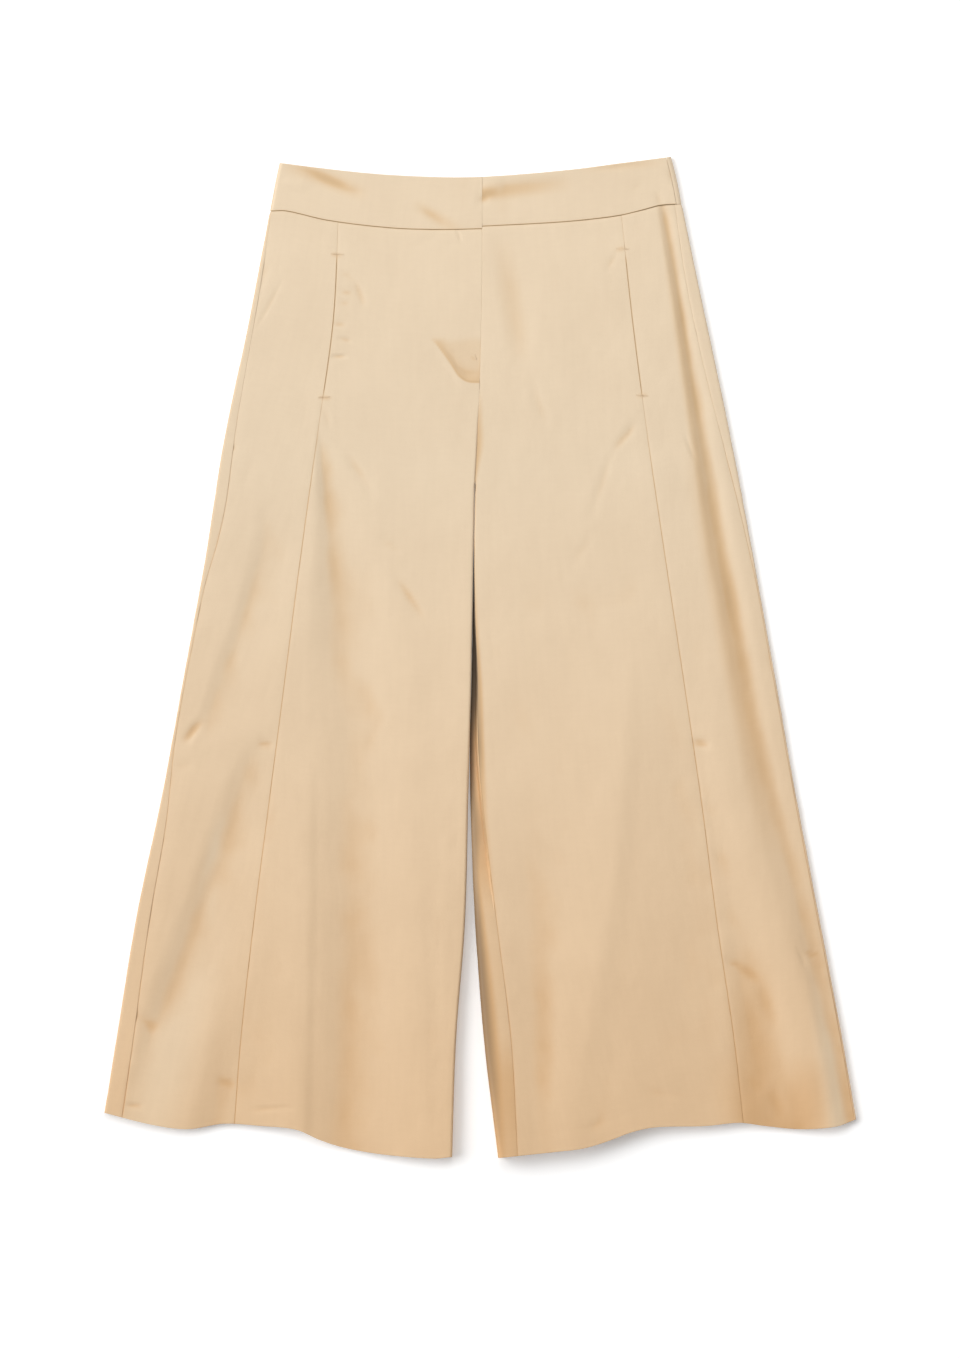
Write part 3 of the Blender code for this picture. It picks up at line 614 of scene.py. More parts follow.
def back_edge_columns(side, share, level):
    """From the underside round the leg's inner edge to the inseam."""
    start = inner_start(side, level, False)
    seam = inseam(side, level) - SEAM_GAP / 2
    along = mix(start, mix(start + INNER_BAND, seam, closed(level)), share)
    short = np.where(along < 0, BACK_SHORT * ease(1 - (along - start) / INNER_BAND), 0.0)
    x, z = point_at_inner(side, along, level, False)
    if side == LEFT:
        sink = run_value(STRIP, level, "sink") * ease((seam - along) / STRIP_RAMP)
        z = CLOTH / 2 + (z - CLOTH / 2) * (1 - sink)
    return x, z, short


def hang(columns, side, across, down, waist=waist_seam):
    """A grid of points from the waist seam to the hem."""
    top = np.full(len(across), WAIST_PROBE)
    bottom = np.full(len(across), HEM_PROBE)
    for _ in range(LOOKUPS):
        top = waist(side, columns(side, across, top)[0]) - SEAM_GAP / 2
        x, _, short = columns(side, across, bottom)
        bottom = hem(side, x) + short
    level = mix(top, bottom, down[:, None])
    x, z, _ = columns(side, across, level)
    return grid_of(x, level, z)


# The grids' widest rows and columns
ROW, FRONT_COLUMN, SIDE_COLUMN, EDGE_COLUMN, TURN_COLUMN, BACK_COLUMN = 3.5, 2.2, 1.8, 1.3, 0.8, 5.0
ROWS_FROM, ROWS_TO = -5, -26  # the rows are spaced out between these X at the waist and at the hem
FLY_ROWS = (-14, 0, 13)  # places round the fly's pucker where the rows are close


def panel_rows():
    """The rows of every panel, closer where the fly, the crotch and the hem need them."""
    top = waist_seam(RIGHT, ROWS_FROM)
    length, crotch = top - hem(RIGHT, ROWS_TO), top - CROTCH_LEVEL + CLOSING / 2
    pucker = (top - FLY_PUCKER[3].level + place for place in FLY_ROWS)
    return stations(length, ROW, (0.0, *pucker, crotch, length - HEM_TURN, length), fine=0.3, growth=0.16)


# ---- seams, creases and crumples on a piece


def run_lengths(points, axis):
    """How far each point is along the cloth from the first one on its row or column."""
    steps = np.linalg.norm(np.diff(points, axis=axis), axis=2)
    start = np.zeros_like(np.take(steps, [0], axis=axis))
    return np.concatenate([start, np.cumsum(steps, axis=axis)], axis=axis)


Survey = namedtuple("Survey", "outward normal x level start end top bottom")


def survey(points, facing):
    """A grid's outward normals, and how far its points are along the cloth from its four edges.
    facing is the sign of Z on its outer side. outward is 1 where the grid's order gives these
    normals, and -1 where it gives their opposites."""
    normal = np.cross(np.gradient(points, axis=1), np.gradient(points, axis=0))
    normal = normal / np.linalg.norm(normal, axis=2, keepdims=True)
    outward = facing * np.sign(np.sum(normal[..., 2]))
    x, level = points[..., 0], points[..., 1]
    across, down = run_lengths(points, 1), run_lengths(points, 0)
    from_end, from_bottom = across[:, -1:] - across, down[-1:] - down
    return Survey(outward, normal * outward, x, level, across, from_end, down, from_bottom)


def pressed_seam(distance, along, seed, sink=SEAM_SINK):
    """The relief beside a sewn seam: its ditch, the allowances under the cloth, and its puckers."""
    ditch = -sink * np.exp(-((distance / SEAM_ROLL) ** 2))
    allowance = ease(distance / ALLOWANCE_START) * (1 - ease((distance - ALLOWANCE) / ALLOWANCE_END))
    pucker = ripple(along, PUCKER_SPACING, seed) * ripple(along, PUCKER_RUN, seed + 1)
    return ditch + ALLOWANCE_RISE * allowance + PUCKER_RELIEF * pucker * np.exp(-distance / PUCKER_REACH)


def turned_hem(distance, along, seed):
    """The relief of a hem turned up inside, held here and there by its blind stitches."""
    held = np.clip(ripple(along, HELD_LENGTH, seed), 0.0, 1.0)
    return -HELD_RELIEF * held * np.exp(-(((distance - HEM_TURN) / HELD_WIDTH) ** 2))


def with_seams(relief, grid, seed, step, start=1.0, end=1.0):
    """Relief with a panel's seams at its start and end, its waist seam and its turned hem."""
    relief = relief + pressed_seam(grid.start, grid.level, seed) * start
    relief = relief + pressed_seam(grid.end, grid.level, seed + step) * end
    relief = relief + pressed_seam(grid.top, grid.x, seed + 2 * step, WAIST_SINK)
    return relief + turned_hem(grid.bottom, grid.x, seed + 3 * step)


def dent_relief(rows, x, level):
    total = 0.0
    for dent in rows:
        run = np.array([dent.to_x - dent.x, dent.to_level - dent.level])
        length = np.linalg.norm(run)
        share = ((x - dent.x) * run[0] + (level - dent.level) * run[1]) / length**2
        off = ((x - dent.x) * run[1] - (level - dent.level) * run[0]) / length
        total = total + dent.height * swell(2 * share - 1) * swell(off / dent.width) ** 2
    return total


def crumple(x, level, seed):
    """Soft unevenness of worn cotton."""
    return (
        0.36 * lumps(x, level, 34, 60, seed)
        + 0.19 * lumps(x + 0.4 * level, level - 0.3 * x, 17, 26, seed + 1)
        + 0.07 * lumps(x - 0.5 * level, level + 0.4 * x, 8, 11, seed + 2)
    )


# The pucker where the fly ends: the line of its crisp lower edge, how deep it is there and how far
# the cloth puffs up below it. At the top it comes up again.
FLY_PUCKER = table(
    "x level depth puff",
    (-50, 301, 0, 0), (-43, 296, 0.3, 0.1), (-35, 285.5, 0.6, 0.3), (-27, 274, 0.9, 0.4),
    (-20, 264, 1.1, 0.6), (-12, 258.8, 1.2, 0.6), (0, 257.8, 1.2, 0.4),
)
PUCKER_WALL, PUCKER_TOP, PUCKER_RISE, PUFF_REACH, PUCKER_EDGE = 11.0, 306.0, 40.0, 12.0, 2.4
# Its painted shade: over all of it up to a ragged top, deeper over the crescent above its edge and at the lip
PUCKER_SHADE, SHADE_START, SHADE_TOP, SHADE_FADE, RAGGED = 0.06, 6.0, 303.0, 9.0, 2.5
CRESCENT_SHADE, CRESCENT = 0.12, 11.0
LIP_SHADE, LIP_START, LIP_EASE, LIP_WIDTH = 0.25, -30.0, 10.0, 1.6

# The groove that the centre seam makes above the crotch
CENTRE_GROOVE = table(
    "level depth right left",
    (240, 0, 1.5, 3), (222, 0.7, 1.5, 5), (195, 1.1, 1.5, 6), (165, 1.2, 1.5, 5),
)
LEFT_GROOVE = 0.15  # its depth on the left, as a share


def fly_pucker(side, x, level):
    if side == LEFT:
        return 0.0
    above = level - smooth_line(FLY_PUCKER, x, "level")
    depth, puff = [
        np.where(x > FLY_PUCKER[0].x, smooth_line(FLY_PUCKER, x, column), 0.0) for column in ("depth", "puff")
    ]
    below = np.where(above < 0, np.clip(1 + above / PUFF_REACH, 0, 1), np.clip(1 - above / PUCKER_WALL, 0, 1))
    return puff * ease(below) - depth * ease(above / PUCKER_WALL) * ease((PUCKER_TOP - level) / PUCKER_RISE)


def centre_groove(side, x, level):
    away = side * (x - centre_front(level))
    depth = run_value(CENTRE_GROOVE, level, "depth") * of_side(side, 1.0, LEFT_GROOVE)
    depth = depth * ease((level - CROTCH_LEVEL + CLOSING) / CLOSING)
    return -depth * (1 - ease(away / side_line(CENTRE_GROOVE, side, level)))


def front_relief(side, x, level):
    small = dent_relief(DENTS[side], x, level) + crumple(x, level, 20)
    return small + fly_pucker(side, x, level) + centre_groove(side, x, level)


# ---- painted shade: darker cloth in hollows, beside seams and where it turns under, and painted highlights

# Painted shade in the hollows of folds: the blur's reach in columns, the sinking where it starts and where it
# is full, and its strength
HOLLOW_REACH, HOLLOW_FROM, HOLLOW_FULL, HOLLOW_PAINTED_SHADE = 5, 0.08, 1.3, 0.18
PAINTED_SHADE_RANGE = (-0.2, 0.9)  # below nothing the painted shade is a painted highlight, paler than the cloth's colour
SHADE_WARMTH, WARMEST_SHADE = (0.5, -0.23, -1.2), 0.22  # the deeper the painted shade, the warmer it is painted, up to this shade
# Painted shade lines along the seams and the pocket mouths: their width, their strengths, and how far below
# the mouths the panel seams' line grows in
LINE_WIDTH, WAIST_LINE, MOUTH_LINE, PANEL_LINE, FAINT_LINE, LINE_FADE = 0.8, 0.62, 0.28, 0.22, 0.04, 90.0
EDGE_PAINTED_SHADE = {RIGHT: 0.16, LEFT: 0.0}  # painted shade where the back's cloth turns to the window, dulling the window's light there

# Painted shade beside the left leg's inseam and the centre seam: on the front, from the seam over a width,
SEAM_PAINTED_SHADES = table(
    "level seam width",
    (252, 0, 4), (225, 0.15, 6), (200, 0.25, 8), (180, 0.2, 5), (160, 0.05, 3), (100, 0, 4), (40, 0.15, 4),
    (0, 0.34, 5), (-40, 0.4, 7), (-80, 0.5, 8), (-120, 0.25, 7), (-160, 0.15, 5), (-250, 0.03, 4),
    (-470, 0.03, 4),
)
# and painted shadow on the inner strip between the legs, at its outer edge and inwards of it, over a width
# between them
STRIP_PAINTED_SHADES = table(
    "level outer inner width",
    (112, 0, 0, 4), (92, 0.85, 0.85, 4), (40, 0.86, 0.86, 4), (0, 0.86, 0.84, 4), (-40, 0.82, 0.68, 6),
    (-80, 0.8, 0.22, 5), (-120, 0.68, 0.22, 7), (-160, 0.62, 0.34, 10), (-200, 0.65, 0.2, 7),
    (-250, 0.73, 0.06, 11), (-300, 0.7, 0.06, 15), (-350, 0.64, 0.03, 17), (-400, 0.54, 0.16, 14),
    (-470, 0.22, 0.1, 10),
)


def blurred(values, axis):
    """A running mean along a row or column of the grid, three times over."""
    pad = [(HOLLOW_REACH, HOLLOW_REACH) if one == axis else (0, 0) for one in (0, 1)]
    for _ in range(3):
        padded = np.pad(values, pad, mode="edge")
        values = sliding_window_view(padded, 2 * HOLLOW_REACH + 1, axis).mean(axis=-1)
    return values


def hollows(points):
    """From 0 on flat cloth to 1 in the hollow of a fold."""
    height = points[..., 2]
    return ease((blurred(blurred(height, 0), 1) - height - HOLLOW_FROM) / HOLLOW_FULL)


# A painted shade line along a seam or a pocket mouth
def seam_shade_line(distance, strength):
    return strength * (1 - ease(distance / LINE_WIDTH))


def fly_shade(side, x, level):
    if side == LEFT:
        return 0.0
    above = level - smooth_line(FLY_PUCKER, x, "level")
    below_top = SHADE_TOP + RAGGED * lumps(x, level, 9, 40, 90) - level
    within = ease((x - FLY_PUCKER[0].x) / SHADE_START) * ease((above + PUCKER_EDGE / 4) / PUCKER_EDGE)
    lip = LIP_SHADE * ease((x - LIP_START) / LIP_EASE) * np.exp(-((above / LIP_WIDTH) ** 2))
    painted_shading = PUCKER_SHADE + CRESCENT_SHADE * np.exp(-((above / CRESCENT) ** 2)) + lip
    return within * ease(below_top / SHADE_FADE) * painted_shading


def seam_shade(side, x, level):
    if side == RIGHT:
        return 0.0
    away = x - inner_edge(side, level) - inseam_inset(level) * closed(level)
    return run_value(SEAM_PAINTED_SHADES, level, "seam") * (1 - ease(away / smooth_line(SEAM_PAINTED_SHADES, level, "width")))


def strip_shade(side, x, level):
    if side == RIGHT:
        return 0.0
    inside = x - inner_edge(side, level)
    outer, inner = (run_value(STRIP_PAINTED_SHADES, level, column) for column in ("outer", "inner"))
    inwards = ease(inside / smooth_line(STRIP_PAINTED_SHADES, level, "width"))
    return np.where(inside < INNER_BAND, mix(outer, inner, inwards), 0.0)


# ---- pieces


def add_object(name, data):
    made = bpy.data.objects.new(name, data)
    bpy.context.scene.collection.objects.link(made)
    return made


def cloth_mesh(name, points, facing, shade, material):
    """A sheet through the points, with its cloth map and its painted shading, and how far each is from the
    edges.
    """
    grid = survey(points, facing)
    rows, columns = points.shape[:2]
    index = np.arange(rows * columns).reshape(rows, columns)
    corners = [index[:-1, :-1], index[:-1, 1:], index[1:, 1:], index[1:, :-1]]
    faces = np.stack(corners if grid.outward > 0 else corners[::-1], axis=2).reshape(-1, 4)
    mesh = bpy.data.meshes.new(name)
    mesh.from_pydata((points * METRE).reshape(-1, 3).tolist(), [], faces.tolist())
    middle = columns // 2
    grain = grid.start - grid.start[:, middle : middle + 1] + points[:, middle : middle + 1, 0]
    uv = np.stack([grain, points[0, middle, 1] - grid.top], axis=2).reshape(-1, 2) * METRE + 0.5
    mesh.uv_layers.new(name="cloth").data.foreach_set("uv", uv[faces.ravel()].astype(np.float32).ravel())
    # The painted shading: painted shade in the hollows of folds is added; below nothing it is a painted
    # highlight, and the deeper the painted shade, the warmer it is
    shade = np.clip(shade + HOLLOW_PAINTED_SHADE * hollows(points) * (facing > 0), *PAINTED_SHADE_RANGE)
    tints = [(1 - shade) * (1 + warmth * np.minimum(shade, WARMEST_SHADE)) for warmth in SHADE_WARMTH]
    painted_shading = np.stack(tints + [np.ones_like(shade)], axis=2).astype(np.float32)
    mesh.attributes.new("painted_shading", "FLOAT_COLOR", "POINT").data.foreach_set("color", painted_shading.ravel())
    mesh.shade_smooth()
    mesh.materials.append(material)
    return mesh, np.minimum.reduce([grid.start, grid.end, grid.top, grid.bottom])


def make_piece(name, node, rests_on, points, thickness, facing=1, wall=1.0, shade=0.0, slot="sateen"):
    """A piece of cloth through the points: a wall with rounded edges, tied to the garment's body, which hides
    the solid it stands for. wall is the share of its thickness at each point."""
    mesh, from_edge = cloth_mesh(name, points, facing, shade, cloth_finish(slot))
    made = add_object(name, mesh)
    rounding = np.sqrt(1 - (1 - np.clip(from_edge / EDGE_ROUND, 0, 1)) ** 2)
    wall = np.round((wall * mix(EDGE_LEAST, 1.0, rounding)).ravel(), 3)
    group = made.vertex_groups.new(name="wall")
    for value in np.unique(wall):
        group.add(np.nonzero(wall == value)[0].tolist(), float(value), "REPLACE")
    solid = made.modifiers.new("wall", "SOLIDIFY")
    solid.thickness = thickness * METRE
    solid.offset = 0.0
    solid.use_even_offset = False
    solid.vertex_group = "wall"

    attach(made, "root")
    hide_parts(node)


def named(part, side):
    return f"{part}_{SIDES[side]}"


def hem_wall(from_hem):
    """The share of the wall's thickness: a turned hem is thicker."""
    return mix(CLOTH / HEM_WALL, 1.0, ease((HEM_TURN - from_hem) / HEM_EASE))


def front_panel(side, part, node, groups, seed):
    """A front panel from its groups of columns, which start at the seam with the pocket mouth."""
    down = panel_rows()
    points = np.concatenate([hang(columns, side, across, down) for columns, across in groups], axis=1)
    grid = survey(points, 1)
    x, level = grid.x, grid.level
    centre = part == "centre_panel"
    open_mouth = ease(np.minimum(MOUTH_TOP - level, level - MOUTH_BOTTOM) / MOUTH_FADE)
    relief = front_relief(side, x, level) * ease(grid.normal[..., 2] * FACING)
    end = mix(CENTRE_PRESS, 1.0, closed(level)) if centre else 1.0
    relief = with_seams(relief, grid, seed, 2, 1 - MOUTH_CALM * open_mouth, end)
    points = points + grid.normal * relief[..., None]
    # Painted shade and highlights: the fly's pucker, the listed painted shades, and shade lines along the
    # waist seam, the panel seams and the pocket mouths
    below_mouth = ease((MOUTH_BOTTOM - level) / LINE_FADE)
    seam = mix(mix(FAINT_LINE, PANEL_LINE, below_mouth), MOUTH_LINE, open_mouth)
    shade = fly_shade(side, x, level) + dent_relief(PAINTED_SHADES[side], x, level) + seam_shade_line(grid.top, WAIST_LINE)
    shade = shade + seam_shade_line(grid.start, seam) + seam_shade_line(grid.end, PANEL_LINE) * below_mouth
    if centre:
        shade = shade + seam_shade(side, x, level)
    wall, behind = hem_wall(grid.bottom), named("back_panel", side)
    make_piece(named(part, side), named(node, side), behind, points, HEM_WALL, 1, wall, shade)


# About how wide each run of columns is
SIDE_SPAN, CENTRE_SPAN, EDGE_SPAN = 95.0, 150.0, {RIGHT: 46.0, LEFT: 36.0}
TURN_SPAN, BACK_SPAN, BACK_EDGE_SPAN = 8, 290.0, {RIGHT: 42.0, LEFT: 66.0}


def front_panels(side):
    sides = [(side_panel_columns, stations(SIDE_SPAN, SIDE_COLUMN))]
    centres = [
        (centre_panel_columns, stations(CENTRE_SPAN, FRONT_COLUMN, (0.0,))),
        (centre_edge_columns, stations(EDGE_SPAN[side], EDGE_COLUMN, (EDGE_SPAN[side],))[1:]),
    ]
    front_panel(side, "side_panel", "front_side", sides, 40 + 10 * side)
    front_panel(side, "centre_panel", "front_centre", centres, 240 + 10 * side)


def back_panel(side):
    turn = TURN_SPAN + 2 * float(half_turn(*side_fold(side, 0.0)))
    groups = (
        (back_side_columns, stations(turn, TURN_COLUMN, (turn,))[::-1]),
        (back_middle_columns, stations(BACK_SPAN, BACK_COLUMN, (0.0, BACK_SPAN), fine=1.2)[1:]),
        (back_edge_columns, stations(BACK_EDGE_SPAN[side], EDGE_COLUMN, (BACK_EDGE_SPAN[side],))[1:]),
    )
    down = panel_rows()
    points = [hang(columns, side, across, down, back_waist_seam) for columns, across in groups]
    points = np.concatenate(points, axis=1)
    grid = survey(points, -1)
    x, level = grid.x, grid.level
    large, small = lumps(x, level, 46, 150, 80 + side), lumps(x, level, 20, 34, 82 + side)
    under = np.minimum(-0.5 - 0.5 * large - 0.25 * small, 0.0)  # the cloth lifts off the floor here and there
    worn = np.where(grid.normal[..., 2] < -0.5, under, 0.5 * crumple(x, level, 84 + side))
    relief = with_seams(0.0, grid, 60 + side, 4) + worn
    points = points + grid.normal * relief[..., None]
    points[..., 2] = np.maximum(points[..., 2], HEM_WALL / 2)
    # Painted shadow on the inner strip between the legs, and painted shade where the side edge turns to the
    # window
    shade = strip_shade(side, x, level) + EDGE_PAINTED_SHADE[side] * np.clip(-grid.normal[..., 0], 0.0, 1.0)
    name, wall = named("back_panel", side), hem_wall(grid.bottom)
    make_piece(name, named("back", side), "floor", points, HEM_WALL, -1, wall, shade)


# ---- the waistband


def band_edge(side, level):
    return side_line(BAND_ENDS, side, level) - side * BAND / 2


def band_height(side, x):
    """The right front of the band lifts over the left front's underlap."""
    lap = of_side(side, UNDERLAP + LAP_MARGIN, LAP_MARGIN / 2)
    inside = side * (x - centre_front(WAIST_PROBE)) - lap
    return BAND_HEIGHT + of_side(side, BAND_LIFT, -BAND_DIP) * (1 - ease(inside / BAND_EASE))


def band_level(waist, side, x, share, short):
    bottom = waist(side, x) + SEAM_GAP / 2
    return mix(bottom, smooth_line(WAIST_EDGE, x, "level") - short, share)


def band_points(side, along, share, waist=waist_seam, short=0.0):
    """Points of the band at distances along it from the side edge, and shares of its height."""
    level = BAND_PROBE
    for _ in range(LOOKUPS):
        distance = along(level)
        inside, height = around(distance, 2 * BAND_ROLL, BAND_ROLL)
        x = band_edge(side, level) - side * inside
        level = band_level(waist, side, x, share, short)
    on_front = (distance > 0) & (inside >= BAND_ROLL)
    return grid_of(x, level, np.where(on_front, band_height(side, x), BAND / 2 + height))


BAND_DENTS = dents(
    (-184, 466, -122, 446, 10, -1.4), (-164, 452, -104, 436, 10, -1.1), (-186, 450, -160, 440, 9, 0.8),
    (-60, 427, -30, 405, 9, -0.9), (-8, 451, 92, 456, 10, 1.1), (0, 444, 24, 446, 12, 0.9),
    (-4, 431, 10, 431, 7, -0.9), (95, 458, 172, 466, 5, -0.6), (140, 436, 154, 448, 7, -0.3),
    (165, 440, 172, 420, 6, -0.6), (176, 462, 184, 444, 6, -0.6),
)
BAND_SPAN, BAND_TALL, BEHIND_SPAN, BEHIND_TURN = {RIGHT: 205.0, LEFT: 225.0}, 48.0, 380.0, 10.0
BAND_COLUMN, BEHIND_COLUMN, BAND_ROW = 2.4, 4.5, 2.0


def band_front(side):
    centre = centre_front(WAIST_PROBE) - side * of_side(side, 0.0, UNDERLAP)
    across = stations(BAND_SPAN[side], BAND_COLUMN)

    def along(level):
        start = along_at(side * (band_edge(side, level) - centre), 2 * BAND_ROLL, BAND_ROLL)
        return mix(start, BAND_SEAM[side] + BAND_GAP / 2, across)

    points = band_points(side, along, stations(BAND_TALL, BAND_ROW)[:, None])
    grid = survey(points, 1)
    relief = dent_relief(BAND_DENTS, grid.x, grid.level) + 0.5 * crumple(grid.x, grid.level, 110 + side)
    relief = relief + pressed_seam(grid.top, grid.x, 115 + side)
    points = points + grid.normal * relief[..., None] * ease(grid.normal[..., 2:] * FACING)
    beyond_lap = side * (points[..., 0] - centre_front(WAIST_PROBE)) - of_side(side, 0.0, LAP_MARGIN)
    wall = mix(LAP_WALL[side], 1.0, ease(beyond_lap / LAP_THIN))
    points[..., 2] += (1 - wall) * BAND / 2
    # Painted shade along the waist seam and in patches on the band
    shade = seam_shade_line(run_lengths(points, 0), WAIST_LINE)
    shade = shade + dent_relief(BAND_PAINTED_SHADES[side], points[..., 0], points[..., 1])
    name, node = named("waistband", side), named("waistband_front", side)
    make_piece(name, node, "waistband_behind", points, BAND, 1, wall, shade)


def band_behind():
    """From one side seam round both side edges, flat along the floor, to the other."""
    end = -BAND_ROLL * math.pi / 2
    share = stations(BAND_TALL, BAND_ROW)[:, None]
    turn = stations(BEHIND_TURN, TURN_COLUMN, (BEHIND_TURN,))[::-1]
    ends = []
    for side in SIDES:
        run = mix(end, BAND_SEAM[side] - BAND_GAP / 2, turn)
        short = BACK_SHORT * ease(run / end)
        ends.append(band_points(side, lambda level, run=run: run, share, back_waist_seam, short))
    middle = stations(BEHIND_SPAN, BEHIND_COLUMN, fine=1.5)[None, 1:-1]
    x = mix(ends[0][:, -1:, 0], ends[1][:, -1:, 0], middle)
    levels = [band_level(back_waist_seam, side, x, share, BACK_SHORT) for side in SIDES]
    flat = grid_of(x, np.where(x < centre_front(WAIST_PROBE), *levels), BAND / 2)
    points = np.concatenate([ends[0], flat, ends[1][:, ::-1]], axis=1)
    make_piece("waistband_behind", "waistband_back", "floor", points, BAND, -1)


# ---- inside: the pocket bags and the fly shield


def pocket(side):
    """One folded sheet: its lower layer, the fold towards the centre, and its upper layer."""
    under, over = stations(BAG_LAP + BAG_REACH, BAG_COLUMN), stations(BAG_REACH, BAG_COLUMN)[1:]
    turn = stations(BAG_TURN, BAG_TURN_COLUMN)[1:] * math.pi
    lower = mix(-BAG_LAP, BAG_REACH, under)
    reach = np.concatenate([lower, BAG_REACH + np.sin(turn) * BAG_SPACE / 2, mix(BAG_REACH, BAG_LIP, over)])
    sink = BAG_SPACE * ease(1 + lower / BAG_EASE), BAG_SPACE / 2 * (1 + np.cos(turn)), 0.0 * over
    across = (reach + BAG_LAP) / (BAG_REACH + BAG_LAP)
    top = waist_seam(side, panel_seam(side, WAIST_PROBE) - side * reach) - BELOW_WAIST
    bottom = BAG_BOTTOM + BAG_CORNER * np.abs(2 * across - 1) ** 3
    level = mix(top, bottom, stations(BAG_TALL, ROW)[:, None])
    x = panel_seam(side, level) - side * reach
    below_front = CLOTH / 2 + GAP + POCKETING / 2 + BAG_GAP
    points = grid_of(x, level, front_height(side, x, level) - below_front - np.concatenate(sink))
    name, node, behind = (named(part, side) for part in ("pocket", "pocket_bag", "back_panel"))
    make_piece(name, node, behind, points, POCKETING, slot="pocketing")


def shield():
    """A strip under the closed centre front."""
    across = stations(SHIELD_REACH + SHIELD_BEYOND, SHIELD_COLUMN)
    offset = mix(-SHIELD_REACH, SHIELD_BEYOND, across)
    top = waist_seam(LEFT, centre_front(WAIST_PROBE) + offset) - BELOW_WAIST
    level = mix(top, SHIELD_END + SHIELD_CURVE * (1 - across) ** 2, stations(SHIELD_TALL, ROW)[:, None])
    x = centre_front(level) + offset
    z = np.where(offset < 0, front_height(RIGHT, x, level), front_height(LEFT, x, level)) - CLOTH - GAP
    z = z + np.where(offset < 0, fly_pucker(RIGHT, x, level), 0.0)
    make_piece("shield", "fly_shield", "pocket_left", grid_of(x, level, z), CLOTH)


# ---- nodes of materials and of Geometry Nodes


def add_node(tree, kind, inputs=None, output=None, **settings):
    """A node with these settings, and its first or its named output.
    An input takes a value or another node's output."""
    made = tree.nodes.new(kind)
    for name, value in settings.items():
        setattr(made, name, value)
    for name, value in (inputs or {}).items():
        if isinstance(value, bpy.types.NodeSocket):
            tree.links.new(value, made.inputs[name])
        else:
            made.inputs[name].default_value = value
    return made.outputs[output] if output else next(socket for socket in made.outputs if socket.enabled)


def combine(tree, operation, first, second):
    return add_node(tree, "ShaderNodeMath", {0: first, 1: second}, operation=operation)


# ---- the bar tacks at the ends of the pocket mouths and of the fly

TACKS = table(
    "side x level to_x to_level",
    (RIGHT, -140, 379.5, -128, 379), (RIGHT, -152, 244.5, -141, 245), (LEFT, 128, 384.5, 140, 384),
    (LEFT, 147, 246.5, 158, 246), (RIGHT, -4.5, 285, -3.5, 280),
)
TACK_LIFT, TACK_POINTS = 0.05, 7


def cloth_top(side, x, level):
    """The height of the front's outer face, with its relief."""
    return front_height(side, x, level) + front_relief(side, x, level) + HEM_WALL / 2


def stitch_tree(name):
    """Rows of short stitches laid across the lines of a mesh."""
    tree = bpy.data.node_groups.new(name, "GeometryNodeTree")
    for label, kind, value in (
        ("Lines", "Geometry", None), ("Material", "Material", None), ("Pitch", "Float", 0.0005),
        ("Stitch length", "Float", 0.0018), ("Thread", "Float", 0.0003), ("Unevenness", "Float", 0.2),
        ("Seed", "Int", 7),
    ):
        socket = tree.interface.new_socket(label, in_out="INPUT", socket_type="NodeSocket" + kind)
        if value is not None:
            socket.default_value = value
    tree.interface.new_socket("Stitches", in_out="OUTPUT", socket_type="NodeSocketGeometry")
    node, given = partial(add_node, tree), tree.nodes.new("NodeGroupInput").outputs
    thread, length = given["Thread"], given["Stitch length"]
    lines = node("GeometryNodeMeshToCurve", {"Mesh": given["Lines"]})
    points = node("GeometryNodeResampleCurve", {"Curve": lines, "Length": given["Pitch"]}, mode="LENGTH")
    bead = node("GeometryNodeMeshUVSphere", {"Segments": 8, "Rings": 6, "Radius": 0.5})
    size = node("ShaderNodeCombineXYZ", {"X": thread, "Y": length, "Z": thread})
    stitch = node("GeometryNodeTransform", {"Geometry": bead, "Scale": size})
    turn = node("FunctionNodeAlignRotationToVector", {"Vector": node("GeometryNodeInputTangent")}, axis="X")
    least = combine(tree, "SUBTRACT", 1.0, given["Unevenness"])
    range_and_seed = {"Min": least, "Max": 1.0, "Seed": given["Seed"]}
    uneven = node("FunctionNodeRandomValue", range_and_seed, data_type="FLOAT")
    placed = {"Points": points, "Instance": stitch, "Rotation": turn, "Scale": uneven}
    row = node("GeometryNodeInstanceOnPoints", placed)
    real = node("GeometryNodeRealizeInstances", {"Geometry": row})
    dressed = node("GeometryNodeSetMaterial", {"Geometry": real, "Material": given["Material"]})
    smooth = node("GeometryNodeSetShadeSmooth", {"Geometry": dressed})
    tree.links.new(smooth, tree.nodes.new("NodeGroupOutput").inputs["Stitches"])
    return tree


def make_tacks(name, thread, settings):
    points, edges = [], []
    for tack in TACKS:
        first = len(points)
        for share in np.linspace(0.0, 1.0, TACK_POINTS):
            x, level = mix(tack.x, tack.to_x, share), mix(tack.level, tack.to_level, share)
            height = float(cloth_top(tack.side, x, level) + TACK_LIFT)
            points.append((x * METRE, level * METRE, height * METRE))
        edges += [(i, i + 1) for i in range(first, len(points) - 1)]
    mesh = bpy.data.meshes.new(name)
    mesh.from_pydata(points, edges, [])
    made = add_object(name, mesh)
    rows = made.modifiers.new("stitches", "NODES")
    rows.node_group = stitch_tree("stitches")
    values = {"Pitch": settings.stitch_pitch, "Stitch length": settings.stitch_length, "Material": thread}
    for item in rows.node_group.interface.items_tree:
        if item.in_out == "INPUT" and item.name in values:
            rows[item.identifier] = values[item.name]
    bpy.context.view_layer.update()
    whole = bpy.data.meshes.new_from_object(made.evaluated_get(bpy.context.evaluated_depsgraph_get()))
    made.modifiers.remove(rows)
    made.data = whole
    bpy.data.meshes.remove(mesh)
    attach(made, "root")


# ---- finishes

